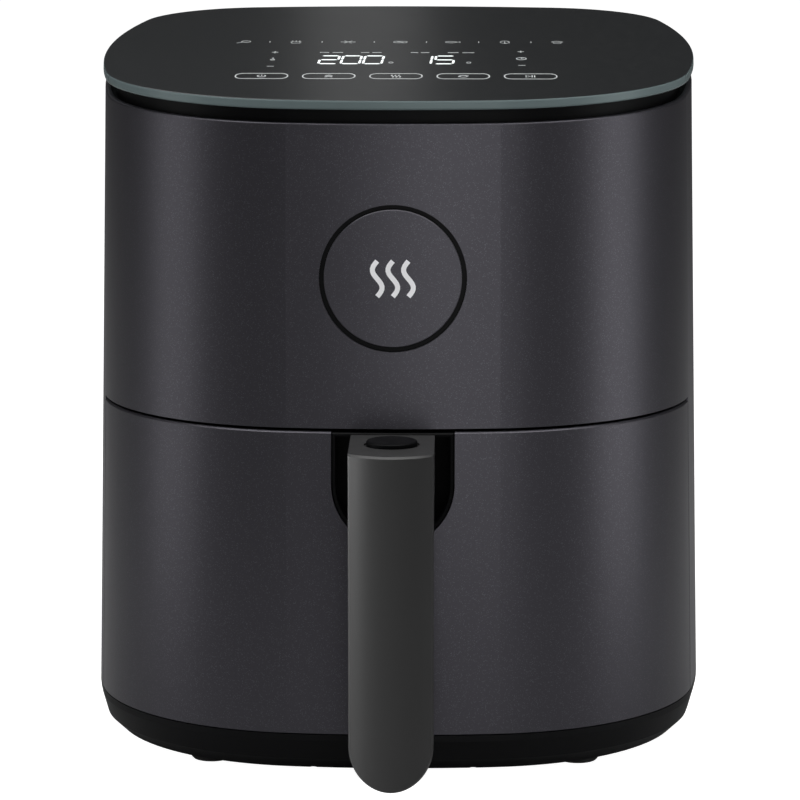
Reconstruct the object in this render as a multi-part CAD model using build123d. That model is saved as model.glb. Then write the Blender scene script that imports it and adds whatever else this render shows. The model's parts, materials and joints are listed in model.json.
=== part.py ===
from build123d import *
import os
from math import asin, cos, degrees, hypot, radians, sin, sqrt, tan

# Compact basket air fryer. Millimetres, +Z up, front towards -Y.
# Each piece is drawn about the body's own centre line (x = 0, y = 0) and moved at
# the end by body_shift, so that the origin is the centre of the whole footprint.

# ---------------------------------------------------------------- body outline
half_width = 135.0  # at mid_height
front_depth = 156.0
rear_depth = 149.0
mid_height = 150.0  # height at which the three sizes above hold
draft_angle = 1.15  # the walls lean in towards the top
front_radius = 370.0
side_radius = 460.0
rear_radius = 570.0
front_corner_radius = 97.0
rear_corner_radius = 62.0
skin_wall = 2.2
shell_edge = 1.0  # rounding of the shell's top edge
drawer_split_y = -74.0  # the drawer front wraps back to here on both sides

# ------------------------------------------------------------- heights, bottom up
foot_height = 4.0
tray_height = 16.4
tray_band = 2.7
tray_inset = 7.9
tray_wall = 2.4
pan_floor_gap = 8.0  # top of the tray to the underside of the pan
pan_depth = 118.0
seam_above_pan = 5.6  # pan rim to the top edge of the drawer front
seam_gap = 1.3
side_gap = 1.2
dome_height = 42.0
motor_space = 52.0  # heat shield to the top of the motor
board_space = 39.0  # top of the motor to the shell's top edge, at the centre
top_slope = 3.25  # the control panel leans towards the user
neck_height = 5.8
neck_inset = 5.0
neck_wall = 2.4
glass_thickness = 4.0
glass_overhang = 0.9
glass_edge = 0.8

# ------------------------------------------------------------------------ drawer
drawer_thickness = 14.4
drawer_floor_gap = 0.5
pan_side_space = 34.0
pan_front_space = 20.0
pan_rear_space = 65.0
pan_corner = 55.0
pan_wall = 1.2
pan_flange = 4.0
pan_floor_radius = 12.0
cutout_half_width = 26.2
cutout_drop = 49.3  # top edge of the drawer to the lowest point of the cutout
cutout_gap = 0.6
cup_depth = 9.0
cup_wall = 1.2
cup_lip = 1.6
cup_lip_edge = 0.6

# ------------------------------------------------------------------------ handle
handle_width = 35.5
handle_reach = 51.0  # drawer front to the foremost point of the grip
handle_thickness = 22.0
handle_bow_radius = 26.0
handle_ground_gap = 8.4
bridge_height = 24.0
bridge_drop = 1.2  # top of the bridge below the drawer's top edge
handle_wall = 2.4
core_thickness = 2.0
core_half_width = 10.5
cover_half_width = 13.0
cover_gap = 0.15
button_radius = 10.7
button_setback = 29.0  # from the foremost point of the grip
button_proud = 1.8
button_gap = 0.25
button_travel = 2.0
button_recess_radius = 11.7
button_recess_depth = 0.8
stem_radius = 3.2
tongue_thickness = 2.0
tongue_half_width = 9.0
hook_half_width = 5.0
hook_thickness = 2.0

# --------------------------------------------------------------- cooking chamber
bulkhead_gap = 0.6  # behind the drawer front
bulkhead_wall = 2.0
lip_thickness = 1.5
lip_drop = 0.2  # underside of the lip above the lower edge of the upper casing
liner_wall = 0.8
liner_clearance = 1.4
liner_rear_gap = 7.0
liner_rise = 3.6  # top of the tray to the underside of the liner
roof_wall = 1.0
dome_radius = 92.0
dome_wall = 0.8
guard_lift = 2.0
heater_tube = 6.4
heater_wall_space = 13.0  # dome wall to the middle of the heater's outer ring
heater_pitch = 13.0
heater_end_angle = 8.0
heater_turn_angle = 14.0
heater_lift = 11.0
hot_fan_space = 9.0  # blade tips to the middle of the heater's outer ring
guard_rings = 5
hot_fan_height = 15.0
hot_fan_lift = 21.0
blade_wall = 1.0
plate_lift = 14.5
plate_wall = 1.5
plate_gap = 2.5
bumper_neck = 2.4

# ------------------------------------------------------------------ motor and fan
shaft_radius = 3.0
shaft_clearance = 0.05
cooling_fan_radius = 42.0
cooling_fan_height = 10.0
stator_side = 58.0
stator_height = 20.0
slot_x = 21.0
slot_width = 7.0
cooling_fan_lift = 9.0
rotor_radius = 14.0
rotor_clearance = 0.5
motor_wall = 2.0

# --------------------------------------------------------------------- small parts
badge_radius = 31.2
badge_groove = 2.1
badge_height = 217.2
badge_depth = 1.2
screw_radius = 1.5
screw_head_radius = 3.2
screw_head_height = 1.8
foot_radius = 9.0
foot_x = 80.0
foot_front_inset = 38.0
foot_rear_inset = 42.0
gland_radius = 8.0
gland_proud = 5.0
gland_x = 62.0
gland_height = 44.0
gland_bore = 3.4
vent_half_width = 46.0
vent_opening = 56.0
vent_above_rim = 2.0
intake_slots = 5
intake_pitch = 8.0
flange_screw_x = 7.0
rivet_radius = 2.0
plunger_radius = 1.5
plunger_clearance = 0.05

# ------------------------------------------------------------------ derived places
tray_top = foot_height + tray_height
pan_bottom = tray_top + pan_floor_gap
pan_rim = pan_bottom + pan_depth
drawer_top = pan_rim + seam_above_pan
upper_bottom = drawer_top + seam_gap
roof_bottom = upper_bottom + lip_drop + lip_thickness
roof_top = roof_bottom + roof_wall
dome_top = roof_top + dome_height
shield_top = dome_top + motor_wall
motor_top = shield_top + motor_space
edge_height = motor_top + board_space
pan_half_width = half_width - pan_side_space
pan_front = -front_depth + pan_front_space
pan_rear = rear_depth - pan_rear_space
fan_y = (pan_front + pan_rear) / 2
liner_half_width = pan_half_width + pan_flange + liner_clearance
vent_high = pan_rim + vent_above_rim
vent_low = vent_high - vent_opening
heater_radius = dome_radius - heater_wall_space
hot_fan_radius = heater_radius - hot_fan_space
bracket_span = dome_radius + 7.0
bridge_level = shield_top + cooling_fan_lift + cooling_fan_height + 3
stator_low = bridge_level + motor_wall + 4
top_frame_low = stator_low + stator_height + 3
liner_rear = pan_rear + liner_rear_gap
bulkhead_offset = drawer_thickness + bulkhead_gap
handle_front = -front_depth - handle_reach
handle_back = handle_front + handle_thickness
bridge_top = drawer_top - bridge_drop
bridge_bottom = bridge_top - bridge_height
cup_back = -front_depth + cup_depth
button_y = handle_front + button_setback
tongue_bottom = bridge_top - 8.6
tongue_top = tongue_bottom + tongue_thickness
hook_top = tongue_bottom - 2.8
hook_bottom = hook_top - hook_thickness
rear_reach = rear_depth + (mid_height - gland_height) * tan(radians(draft_angle)) + gland_proud
body_shift = (-handle_front - rear_reach) / 2
BIG = 900.0


# ------------------------------------------------------------------ outline helpers
def between_circles(centre_a, radius_a, centre_b, radius_b, radius, forward):
    """Centre of the circle that is tangent inside two larger circles."""
    reach_a = radius_a - radius
    reach_b = radius_b - radius
    dx = centre_b[0] - centre_a[0]
    dy = centre_b[1] - centre_a[1]
    span = hypot(dx, dy)
    along = (reach_a**2 - reach_b**2 + span**2) / (2 * span)
    across = sqrt(reach_a**2 - along**2)
    choices = []
    for side in (-1, 1):
        x = centre_a[0] + (along * dx - side * across * dy) / span
        y = centre_a[1] + (along * dy + side * across * dx) / span
        choices.append((x, y))
    choices.sort(key=lambda point: point[1])
    return choices[0] if forward else choices[-1]


front_centre = (0.0, front_radius - front_depth)
side_centre = (half_width - side_radius, 0.0)
rear_centre = (0.0, rear_depth - rear_radius)
front_corner_centre = between_circles(
    front_centre, front_radius, side_centre, side_radius, front_corner_radius, True
)
rear_corner_centre = between_circles(
    rear_centre, rear_radius, side_centre, side_radius, rear_corner_radius, False
)


def beyond(centre, target, distance):
    """Point at a distance from centre, in the direction of target."""
    dx = target[0] - centre[0]
    dy = target[1] - centre[1]
    span = hypot(dx, dy)
    return (centre[0] + dx / span * distance, centre[1] + dy / span * distance)


def mirrored(point):
    return (-point[0], point[1])


def outline(offset):
    """Plan of the body, moved outwards by offset: eight tangent arcs."""
    a = beyond(front_centre, front_corner_centre, front_radius + offset)
    b = beyond(side_centre, front_corner_centre, side_radius + offset)
    c = beyond(side_centre, rear_corner_centre, side_radius + offset)
    d = beyond(rear_centre, rear_corner_centre, rear_radius + offset)

    def middle(centre, start, end, radius):
        return beyond(centre, ((start[0] + end[0]) / 2, (start[1] + end[1]) / 2), radius)

    half = [
        (a, middle(front_corner_centre, a, b, front_corner_radius + offset), b),
        (b, middle(side_centre, b, c, side_radius + offset), c),
        (c, middle(rear_corner_centre, c, d, rear_corner_radius + offset), d),
    ]
    arcs = [ThreePointArc(mirrored(a), (0, -front_depth - offset), a)]
    arcs += [ThreePointArc(*points) for points in half]
    arcs.append(ThreePointArc(d, (0, rear_depth + offset), mirrored(d)))
    for start, mid, end in reversed(half):
        arcs.append(ThreePointArc(mirrored(end), mirrored(mid), mirrored(start)))
    return make_face(Wire(arcs))


def drafted(offset, low, high):
    """Solid between two heights, its walls parallel to the body's outer skin."""
    at_low = offset + (mid_height - low) * tan(radians(draft_angle))
    face = Pos(0, 0, low) * outline(at_low)
    return extrude(face, amount=high - low, dir=(0, 0, 1), taper=draft_angle)


def ring(outer, inner, low, high):
    return drafted(outer, low, high) - drafted(inner, low - 1, high + 1)


def block(x0, x1, y0, y1, z0, z1):
    return Pos((x0 + x1) / 2, (y0 + y1) / 2, (z0 + z1) / 2) * Box(x1 - x0, y1 - y0, z1 - z0)


def ahead_of(y):
    return block(-BIG, BIG, -BIG, y, -BIG, BIG)


def rod(x, y, z0, z1, radius):
    return Pos(x, y, (z0 + z1) / 2) * Cylinder(radius, z1 - z0)


def rod_y(x, z, y0, y1, radius):
    return Pos(x, (y0 + y1) / 2, z) * Rot(90, 0, 0) * Cylinder(radius, y1 - y0)


def top_slab(low, high):
    """Everything between two heights above the sloping top edge of the shell."""
    thick = high - low
    return on_top(0, 0, low + thick / 2) * Box(BIG, BIG, thick)


def on_top(x, y, height):
    """Place on the sloping control panel, height above the shell's top edge."""
    return Pos(0, 0, edge_height) * Rot(top_slope, 0, 0) * Pos(x, y, height)


def pan_rectangle(grow):
    """Plan of the pan before its corners are trimmed, moved outwards by grow."""
    length = pan_rear - pan_front + 2 * grow
    width = 2 * (pan_half_width + grow)
    return Pos(0, fan_y) * RectangleRounded(width, length, pan_corner + grow)


def pan_limit(grow):
    """Plan that keeps the pan clear of the drawer front."""
    return outline(-drawer_thickness - 0.8 + min(grow, 0))


def pan_face(grow):
    return pan_rectangle(grow) & pan_limit(grow)


def pan_form(grow, low, radius):
    """Deep solid with the pan's plan, its floor edge rounded."""
    forms = []
    for plan in (pan_rectangle(grow), pan_limit(grow)):
        form = extrude(Pos(0, 0, low) * plan, pan_depth)
        floor_edges = form.faces().sort_by(Axis.Z)[0].outer_wire().edges()
        forms.append(fillet(floor_edges, radius=radius))
    return forms[0] & forms[1]


def screw_up(x, y, z, length):
    """Screw driven upwards, its head below z."""
    shank = rod(x, y, z, z + length, screw_radius)
    return shank + rod(x, y, z - screw_head_height, z, screw_head_radius)


def screw_down(x, y, z, length):
    shank = rod(x, y, z - length, z, screw_radius)
    return shank + rod(x, y, z, z + screw_head_height, screw_head_radius)


# ------------------------------------------------------------------------ casings
def outer_shell():
    shell = ring(0, -skin_wall, tray_top, edge_height + 60) - top_slab(0, 200)
    top_face = shell.faces().sort_by(Axis.Z)[-1]
    shell = fillet(top_face.outer_wire().edges(), radius=shell_edge)
    opening = block(-BIG, BIG, -BIG, drawer_split_y + side_gap / 2, tray_top - 1, upper_bottom)
    shell -= opening
    shell -= rod_y(0, badge_height, -BIG, 0, badge_radius)
    shell -= vent_window()
    shell -= rod_y(gland_x, gland_height, 0, BIG, gland_radius - 2)
    slot = Rot(90, 0, 0) * extrude(SlotOverall(90, 3.5), 12, both=True)
    lowest = edge_height - 66
    return shell - [Pos(0, rear_depth, lowest + intake_pitch * row) * slot for row in range(intake_slots)]


def vent_window(grow=0.0):
    half = vent_half_width + grow
    return block(-half, half, 0, BIG, vent_low - grow, vent_high + grow)



def rear_grille():
    """Slotted plate in the rear opening, held by a frame inside the skin."""
    low = vent_low - 10
    high = vent_high + 10
    plate = ring(0.4, -skin_wall, low, high) & vent_window(-0.2)
    half = vent_half_width - 5
    first = vent_low + 5
    slots = [block(-half, half, 0, BIG, first + 7.2 * row, first + 7.2 * row + 3.6) for row in range(7)]
    frame = ring(-skin_wall, -skin_wall - 1.6, low, high) & vent_window(4)
    return plate - slots + (frame - vent_window(-5))


def exhaust_duct():
    depth_start = liner_rear + liner_wall
    limit = drafted(-skin_wall - 1.6, vent_low - 10, vent_high + 10)
    half = vent_half_width - 2
    outer = block(-half, half, depth_start, BIG, vent_low + 1, vent_high - 1)
    return (outer - duct_bore()) & limit


def duct_bore():
    half = vent_half_width - 3.5
    return block(-half, half, 0, BIG, vent_low + 2.5, vent_high - 2.5)


def base_tray():
    band_low = tray_top - tray_band
    skirt_low = foot_height
    mid_low = band_low - 0.62 * (band_low - skirt_low)
    bulge = 0.3 * tray_inset
    at_band = (mid_height - band_low) * tan(radians(draft_angle))

    def lofted(shrink, floor):
        first = extrude(
            Pos(0, 0, band_low) * outline(at_band - shrink),
            amount=band_low - mid_low,
            dir=(0, 0, -1),
            taper=degrees(asin(bulge / hypot(bulge, band_low - mid_low))),
        )
        rest = tray_inset - bulge
        second = extrude(
            Pos(0, 0, mid_low) * outline(at_band - bulge - shrink),
            amount=mid_low - floor,
            dir=(0, 0, -1),
            taper=degrees(asin(rest / hypot(rest, mid_low - skirt_low))),
        )
        return first + second

    tray = drafted(0, band_low, tray_top) + lofted(0, skirt_low)
    hollow = drafted(-tray_wall, band_low, tray_top + 1) + lofted(tray_wall, skirt_low + tray_wall)
    tray -= hollow
    for x, y in foot_places():
        tray += rod(x, y, skirt_low + tray_wall, tray_top - 2.5, 6)
        tray -= rod(x, y, skirt_low - 1, tray_top, 3)
    for x, y in tray_screw_places():
        tray += rod(x, y, skirt_low + tray_wall, deck_bottom(), 5)
        tray -= rod(x, y, skirt_low - 1, skirt_low + 3, screw_head_radius + 0.3)
        tray -= rod(x, y, skirt_low, tray_top, screw_radius + 0.1)
    slot = extrude(Rot(0, 0, 90) * SlotOverall(60, 4), 6, both=True)
    return tray - [Pos(14 * step, 40, skirt_low) * slot for step in range(-4, 5)]


def foot_places():
    front = -front_depth + foot_front_inset
    rear = rear_depth - foot_rear_inset
    return [(-foot_x, front), (foot_x, front), (-foot_x, rear), (foot_x, rear)]


def tray_screw_places():
    front = -front_depth + bulkhead_offset - 5
    return [(-34, front), (34, front)]


def deck_bottom():
    return tray_top - tray_band + 0.2


def rubber_feet():
    feet = []
    for x, y in foot_places():
        pad = chamfer(rod(x, y, 0, foot_height, foot_radius).edges().sort_by(Axis.Z)[:1], length=0.8)
        feet.append(pad + rod(x, y, foot_height, foot_height + 6, 3))
    return feet


def base_screws():
    return [screw_up(x, y, foot_height + 3, 13) for x, y in tray_screw_places()]


def front_bulkhead():
    """Frame behind the drawer front: curved wall, side ends, sill and top lip."""
    outer = -bulkhead_offset
    inner = outer - bulkhead_wall
    joint = outer - bulkhead_wall / 2
    deck = deck_bottom()
    lip_bottom = upper_bottom + lip_drop
    front_end = drawer_split_y + side_gap / 2
    wall = ring(outer, inner, deck, roof_bottom) & ahead_of(front_end)
    lip = ring(-skin_wall, joint, lip_bottom, roof_bottom) & ahead_of(front_end + 12)
    sill = ring(-tray_wall, joint, deck, deck + 2) & ahead_of(front_end)
    ends = ring(-skin_wall, joint, tray_top, lip_bottom + lip_thickness / 2)
    ends &= block(-BIG, BIG, front_end - 0.2, front_end + 2, 0, BIG)
    frame = wall + sill + ends + lip
    half = liner_half_width
    frame -= block(-half, half, -BIG, 0, tray_top + liner_rise + liner_wall, lip_bottom)
    frame -= rod_y(switch_x(), switch_height(), front_end - 1, front_end + 3, plunger_radius + 0.3)
    for x, y in tray_screw_places():
        frame -= rod(x, y, deck - 1, deck + 3, screw_radius + 0.1)
    return frame


def top_bezel():
    """Dark neck between the shell and the glass, with a flange inside the shell."""
    inner = -neck_inset - neck_wall
    low = edge_height - 60
    high = edge_height + 60
    neck = ring(-neck_inset, inner, low, high) & top_slab(-12, neck_height)
    flange = ring(-skin_wall, inner, low, high) & top_slab(-4.0, -2.2)
    return neck + flange


def glass_panel():
    slab = drafted(glass_overhang, edge_height - 60, edge_height + 60)
    slab &= top_slab(neck_height, neck_height + glass_thickness)
    top = slab.faces().sort_by(Axis.Z)[-1]
    return fillet(top.outer_wire().edges(), radius=glass_edge)


def board_carrier():
    inner = -neck_inset - neck_wall
    plate = drafted(inner, edge_height - 60, edge_height + 60) & top_slab(-12, -10)
    for x, y in board_posts():
        plate += on_top(x, y, -7) * Cylinder(4, 6)
        plate -= on_top(x, y, -7) * Cylinder(screw_radius, 8)
    openings = [on_top(22 * step, 70, -11) * Box(14, 60, 8) for step in range(-3, 4)]
    return plate - openings


def board_posts():
    return [(-84, -94), (84, -94), (-84, 28), (84, 28)]


def control_board():
    board = on_top(0, -33, -3.2) * extrude(RectangleRounded(184, 138, 5), 1.6)
    for x, y in board_posts():
        board -= on_top(x, y, -3.2) * Cylinder(screw_radius + 0.1, 8)
    return board


def board_screws():
    screws = []
    for x, y in board_posts():
        base = -1.6
        shank = on_top(x, y, base - 4) * Cylinder(screw_radius, 8)
        head = on_top(x, y, base + 0.8) * Cylinder(screw_head_radius - 0.4, 1.6)
        screws.append(shank + head)
    return screws


def display_module():
    frame_height = neck_height + 1.6
    body = on_top(0, -36, -1.6) * extrude(RectangleRounded(84, 40, 2), frame_height)
    window = on_top(0, -36, neck_height - 2) * extrude(RectangleRounded(78, 34, 1), 4)
    return body - window


def display_lens():
    return on_top(0, -36, neck_height - 2) * extrude(RectangleRounded(77.6, 33.6, 1), 1.8)


def key_places():
    row = [(29.2 * step, -85) for step in range(-2, 3)]
    presets = [(-72 + 24 * step, 20) for step in range(7)]
    columns = [(-56, -13), (-56, -56), (55, -10), (55, -54)]
    return row + presets + columns


def touch_springs():
    """A short sprung contact between the board and the glass at every touch key."""
    contacts = []
    for x, y in key_places():
        cup = on_top(x, y, -1.6) * extrude(Circle(4), neck_height + 1.6)
        cup -= on_top(x, y, -1.6) * extrude(Circle(3.1), neck_height - 0.4)
        contacts.append(cup)
    return contacts


def badge_back():
    disc = rod_y(0, badge_height, -BIG, 0, badge_radius)
    floor = ring(-badge_depth, -skin_wall - 1.5, badge_height - 60, badge_height + 60)
    return floor & disc


def badge_disc():
    disc = rod_y(0, badge_height, -BIG, 0, badge_radius - badge_groove)
    plate = ring(0, -badge_depth, badge_height - 60, badge_height + 60) & disc
    front = plate.faces().sort_by(Axis.Y)[0]
    return chamfer(front.outer_wire().edges(), length=0.3)


# ------------------------------------------------------------------------- drawer
def cutout(grow=0.0):
    """U-shaped cutout in the drawer front, open at the top, cut along Y."""
    half = cutout_half_width + grow
    centre = drawer_top - cutout_drop + cutout_half_width
    tube = rod_y(0, centre, -BIG, -60, half)
    return tube + block(-half, half, -BIG, -60, centre, drawer_top + 20)


def drawer_front():
    low = tray_top + drawer_floor_gap
    panel = ring(0, -skin_wall, low, drawer_top) & ahead_of(drawer_split_y - side_gap / 2)
    top_edges = panel.faces().sort_by(Axis.Z)[-1].edges().filter_by(GeomType.CIRCLE)
    outer = [edge for edge in top_edges if on_skin(edge)]
    panel = chamfer(outer, length=0.8)
    return panel - cutout()


def on_skin(edge):
    """True for an edge that lies on the outer face of the drawer front."""
    point = edge.position_at(0.5)
    shrink = (mid_height - point.Z) * tan(radians(draft_angle))
    return not (outline(shrink - 0.5) & Vertex(point.X, point.Y, 0))


def drawer_liner():
    """Moulded back of the drawer front, a shallow box closed in front by the panel."""
    low = tray_top + drawer_floor_gap + 0.8
    high = drawer_top - 0.8
    end = drawer_split_y - side_gap / 2 - 0.4
    box = ring(-skin_wall, -drawer_thickness, low, high) & ahead_of(end)
    hollow = ring(-skin_wall + 1, -drawer_thickness + 2, low + 2, high - 2) & ahead_of(end - 2)
    box -= hollow
    box -= cutout(0.6) & ahead_of(-front_depth + cup_depth + cup_wall + 0.4)
    return box - block(-18, 18, -BIG, 0, bridge_bottom + 2, high - 2.5)


def handle_cup():
    """Black U-shaped recess behind the handle's bridge, flat at its back."""
    low = drawer_top - cutout_drop - 1
    top = drawer_top - 0.4
    solid = cutout(-cutout_gap) & drafted(0, low, top) & ahead_of(cup_back + cup_wall)
    lip_edges = solid.faces().sort_by(Axis.Z)[-1].edges().filter_by(GeomType.CIRCLE)
    solid = chamfer(lip_edges, length=cup_lip_edge)
    hollow = cutout(-cutout_gap - cup_wall) & block(-BIG, BIG, -BIG, cup_back, low, top - cup_lip)
    cup = solid - hollow
    half = tongue_half_width + 0.6
    cup -= block(-half, half, cup_back - 1, 0, tongue_bottom - 0.5, tongue_top + 0.5)
    for x in (-flange_screw_x, flange_screw_x):
        cup -= rod_y(x, flange_screw_height(), cup_back - 1, 0, screw_radius + 0.1)
    return cup



def flange_screw_height():
    return bridge_bottom + handle_wall + core_thickness + 3.6


def handle_form(inset):
    """The grip and its bridge as one solid, every face moved in by inset."""
    half = handle_width / 2 - inset
    round_centre = handle_ground_gap + handle_width / 2
    front = handle_front + inset
    back = handle_back - inset
    top = bridge_top - inset
    under = bridge_bottom + inset
    end = cup_back + (0 if inset == 0 else 1)
    bow_centre = handle_front + handle_bow_radius
    side = Polyline(
        (front, 0), (front, top), (end, top), (end, under), (back, under), (back, 0), close=True
    )
    side_face = make_face(side)
    corner = side_face.vertices().sort_by_distance((back, under, 0))[0]
    side_face = fillet(corner, radius=9 + inset)
    profile = extrude(Plane.YZ * side_face, amount=half, both=True)
    bow = rod(0, bow_centre, 0, top, handle_bow_radius - inset)
    plan = bow + block(-half, half, bow_centre, 0, 0, top)
    shape = profile & plan
    ends = rod_y(0, round_centre, -BIG, 0, half) + block(-half, half, -BIG, 0, round_centre, top)
    return shape & ends


def cover_window(grow=0.0):
    """The back of the grip and the underside of the bridge, inside a rim."""
    half = cover_half_width + grow
    low = handle_ground_gap + cover_half_width - grow
    deep = handle_wall + 8
    grip = block(-half, half, handle_back - deep, handle_back + 1, low, bridge_bottom + 1)
    end = cup_back - 6 + grow
    bridge = block(-half, half, handle_back - deep, end, bridge_bottom - 12, bridge_bottom + deep)
    return grip + bridge


def handle_screw_heights():
    return [handle_ground_gap + 28, bridge_bottom - 26]


def handle_shell():
    form = handle_form(0)
    front_edges = [edge for edge in form.edges() if is_front_rim(edge)]
    form = chamfer(front_edges, length=0.9)
    shell = form - handle_form(handle_wall)
    shell -= cover_window(cover_gap) & (handle_form(-1) - handle_form(handle_wall + 0.01))
    for z in handle_screw_heights():
        shell += rod_y(0, z, handle_front + 1.5, handle_back - handle_wall - core_thickness, 3.6)
        shell -= rod_y(0, z, handle_front + 6, handle_back, screw_radius)
    shell -= rod(0, button_y, bridge_top - 8, bridge_top + 5, button_radius + button_gap)
    shell -= rod(0, button_y, bridge_top - button_recess_depth, bridge_top + 5, button_recess_radius)
    step = block(-BIG, BIG, -front_depth - 0.4, 0, bridge_top - 1.0, bridge_top + 5)
    return shell - step


def is_front_rim(edge):
    """Edges where the bowed front meets the top, the sides and the round lower end."""
    point = edge.position_at(0.5)
    bow_centre = handle_front + handle_bow_radius
    on_bow = abs(hypot(point.X, point.Y - bow_centre) - handle_bow_radius) < 0.01
    return on_bow and point.Y < handle_back - 2


def handle_back_cover():
    wall = handle_form(0) - handle_form(handle_wall)
    cover = wall & cover_window()
    for z in handle_screw_heights():
        cover -= rod_y(0, z, handle_back - 1.2, handle_back + 1, screw_head_radius + 0.2)
        cover -= rod_y(0, z, handle_back - 10, handle_back + 1, screw_radius + 0.1)
    return cover


def handle_screws():
    """Two screws in the back of the grip and two through the cup into the strip."""
    screws = []
    for z in handle_screw_heights():
        head = handle_back - 1.2
        shank = rod_y(0, z, head - 12, head, screw_radius)
        screws.append(shank + rod_y(0, z, head, head + 1.1, screw_head_radius))
    back = cup_back + cup_wall
    for x in (-flange_screw_x, flange_screw_x):
        z = flange_screw_height()
        shank = rod_y(x, z, back - 5, back, screw_radius)
        screws.append(shank + rod_y(x, z, back, back + 1.6, screw_head_radius - 0.4))
    return screws


def handle_core():
    """Bent steel strip that carries the load from the grip to the drawer."""
    face = handle_back - handle_wall
    floor = bridge_bottom + handle_wall
    half = core_half_width
    top = floor + core_thickness
    flange_top = hook_bottom - button_travel - 0.6
    grip = block(-half, half, face - core_thickness, face, handle_ground_gap + 14, top)
    arm = block(-half, half, face - core_thickness, cup_back, floor, top)
    flange = block(-half, half, cup_back - core_thickness, cup_back, floor, flange_top)
    core = grip + arm + flange
    for z in handle_screw_heights():
        core -= rod_y(0, z, face - 5, face + 1, screw_radius + 0.1)
    for x in (-flange_screw_x, flange_screw_x):
        core -= rod_y(x, flange_screw_height(), cup_back - 5, cup_back + 1, screw_radius)
    return core


def release_button():
    top = bridge_top + button_proud
    under = bridge_top - handle_wall - 0.1
    cap = rod(0, button_y, under, top, button_radius)
    cap = fillet(cap.edges().sort_by(Axis.Z)[-1:], radius=0.8)
    collar = rod(0, button_y, under - 1.5, under, button_radius + 1.2)
    stem = rod(0, button_y, hook_bottom, under, stem_radius)
    return cap + collar + stem


def tooth_y():
    return button_y + 14.0


def latch_hook():
    half = hook_half_width
    plate = block(-half, half, button_y - 6, tooth_y() + 2, hook_bottom, hook_top)
    tooth = block(-half, half, tooth_y() - 2, tooth_y() + 2, hook_top, tongue_top - 0.6)
    return plate + tooth - rod(0, button_y, hook_bottom - 1, hook_top + 1, stem_radius)


def button_spring():
    wire = 0.35
    floor = bridge_bottom + handle_wall + core_thickness
    turns = 3.5
    room = hook_bottom - floor - 2 * wire
    coil = Helix(pitch=room / turns, height=room, radius=3.6)
    start = coil.position_at(0)
    profile = Plane(origin=start, z_dir=coil.tangent_at(0)) * Circle(wire)
    return Pos(0, button_y, floor + wire) * sweep(profile, path=coil, is_frenet=True)


def pan():
    outer = pan_form(0, pan_bottom, pan_floor_radius)
    inner = pan_form(-pan_wall, pan_bottom + pan_wall, pan_floor_radius - pan_wall)
    flange = extrude(Pos(0, 0, pan_rim - 1.5) * pan_face(pan_flange), 1.5)
    body = outer + flange - inner
    for x, z in rivet_places():
        body -= rod_y(x, z, pan_front - 1, pan_front + 5, rivet_radius)
    return body


def rivet_places():
    return [(x, pan_rim - drop) for drop in (16, 32) for x in (-10, 10)]


def pan_bracket():
    """Steel tongue on the pan that the latch in the handle holds."""
    half = tongue_half_width + 6
    plate = block(-half, half, pan_front - tongue_thickness, pan_front, pan_rim - 38, tongue_top)
    reach = button_y - 9
    half = tongue_half_width
    tongue = block(-half, half, reach, pan_front, tongue_bottom, tongue_top)
    bracket = plate + tongue
    bracket -= rod(0, button_y, tongue_bottom - 1, tongue_top + 1, stem_radius + 1.6)
    half = hook_half_width + 0.6
    slot_y = tooth_y()
    bracket -= block(-half, half, slot_y - 2.6, slot_y + 2.6, tongue_bottom - 1, tongue_top + 1)
    for x, z in rivet_places():
        bracket -= rod_y(x, z, pan_front - 5, pan_front + 1, rivet_radius)
    return bracket


def bracket_rivets():
    rivets = []
    outside = pan_front - tongue_thickness
    inside = pan_front + pan_wall
    for x, z in rivet_places():
        shank = rod_y(x, z, outside, inside, rivet_radius)
        inner_head = rod_y(x, z, inside, inside + 1, 3.5)
        outer_head = rod_y(x, z, outside - 1, outside, 3.5)
        rivets.append(shank + inner_head + outer_head)
    return rivets


def crisper_plate():
    low = pan_bottom + pan_wall + plate_lift
    plate = extrude(Pos(0, 0, low) * pan_face(-pan_wall - plate_gap), plate_wall)
    half_x = pan_half_width - 24
    half_y = (pan_rear - pan_front) / 2 - 26
    columns = int(2 * half_x / 15)
    rows = int(2 * half_y / 26)
    grid = GridLocations(2 * half_x / columns, 2 * half_y / rows, columns + 1, rows + 1)
    places = [place for place in grid if is_free(place.position.X, place.position.Y)]
    holes = [place * (Rot(0, 0, 90) * SlotOverall(17, 5)) for place in places]
    plate -= extrude(Pos(0, fan_y, low - 1) * Sketch(holes), plate_wall + 2)
    for x, y in bumper_places():
        plate -= rod(x, y, low - 1, low + 5, bumper_neck)
    return plate - rod(0, fan_y, low - 1, low + 5, 9)


def is_free(x, y):
    """True where a slot clears the finger ring and the bumpers."""
    spots = [(0, 0, 24)] + [(px, py - fan_y, 17) for px, py in bumper_places()]
    return all(hypot(x - sx, y - sy) > room for sx, sy, room in spots)


def bumper_places():
    half_x = pan_half_width - 22
    half_y = (pan_rear - pan_front) / 2 - 22
    return [(half_x, fan_y), (-half_x, fan_y), (0, fan_y + half_y), (0, fan_y - half_y)]


def plate_loop():
    """Raised finger ring in the middle of the plate."""
    low = pan_bottom + pan_wall + plate_lift
    tube = rod(0, fan_y, low - 1.0, low + 8, 9) - rod(0, fan_y, low - 2, low + 9, 7.6)
    top = low + plate_wall
    lip = rod(0, fan_y, top, top + 1.2, 12) - rod(0, fan_y, low, low + 5, 8.8)
    return tube + lip


def plate_bumpers():
    floor = pan_bottom + pan_wall
    low = floor + plate_lift
    top = low + plate_wall
    bumpers = []
    for x, y in bumper_places():
        leg = rod(x, y, floor + 0.3, low, 5)
        bumpers.append(leg + rod(x, y, low, top, bumper_neck) + rod(x, y, top, top + 1.4, 5))
    return bumpers


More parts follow.
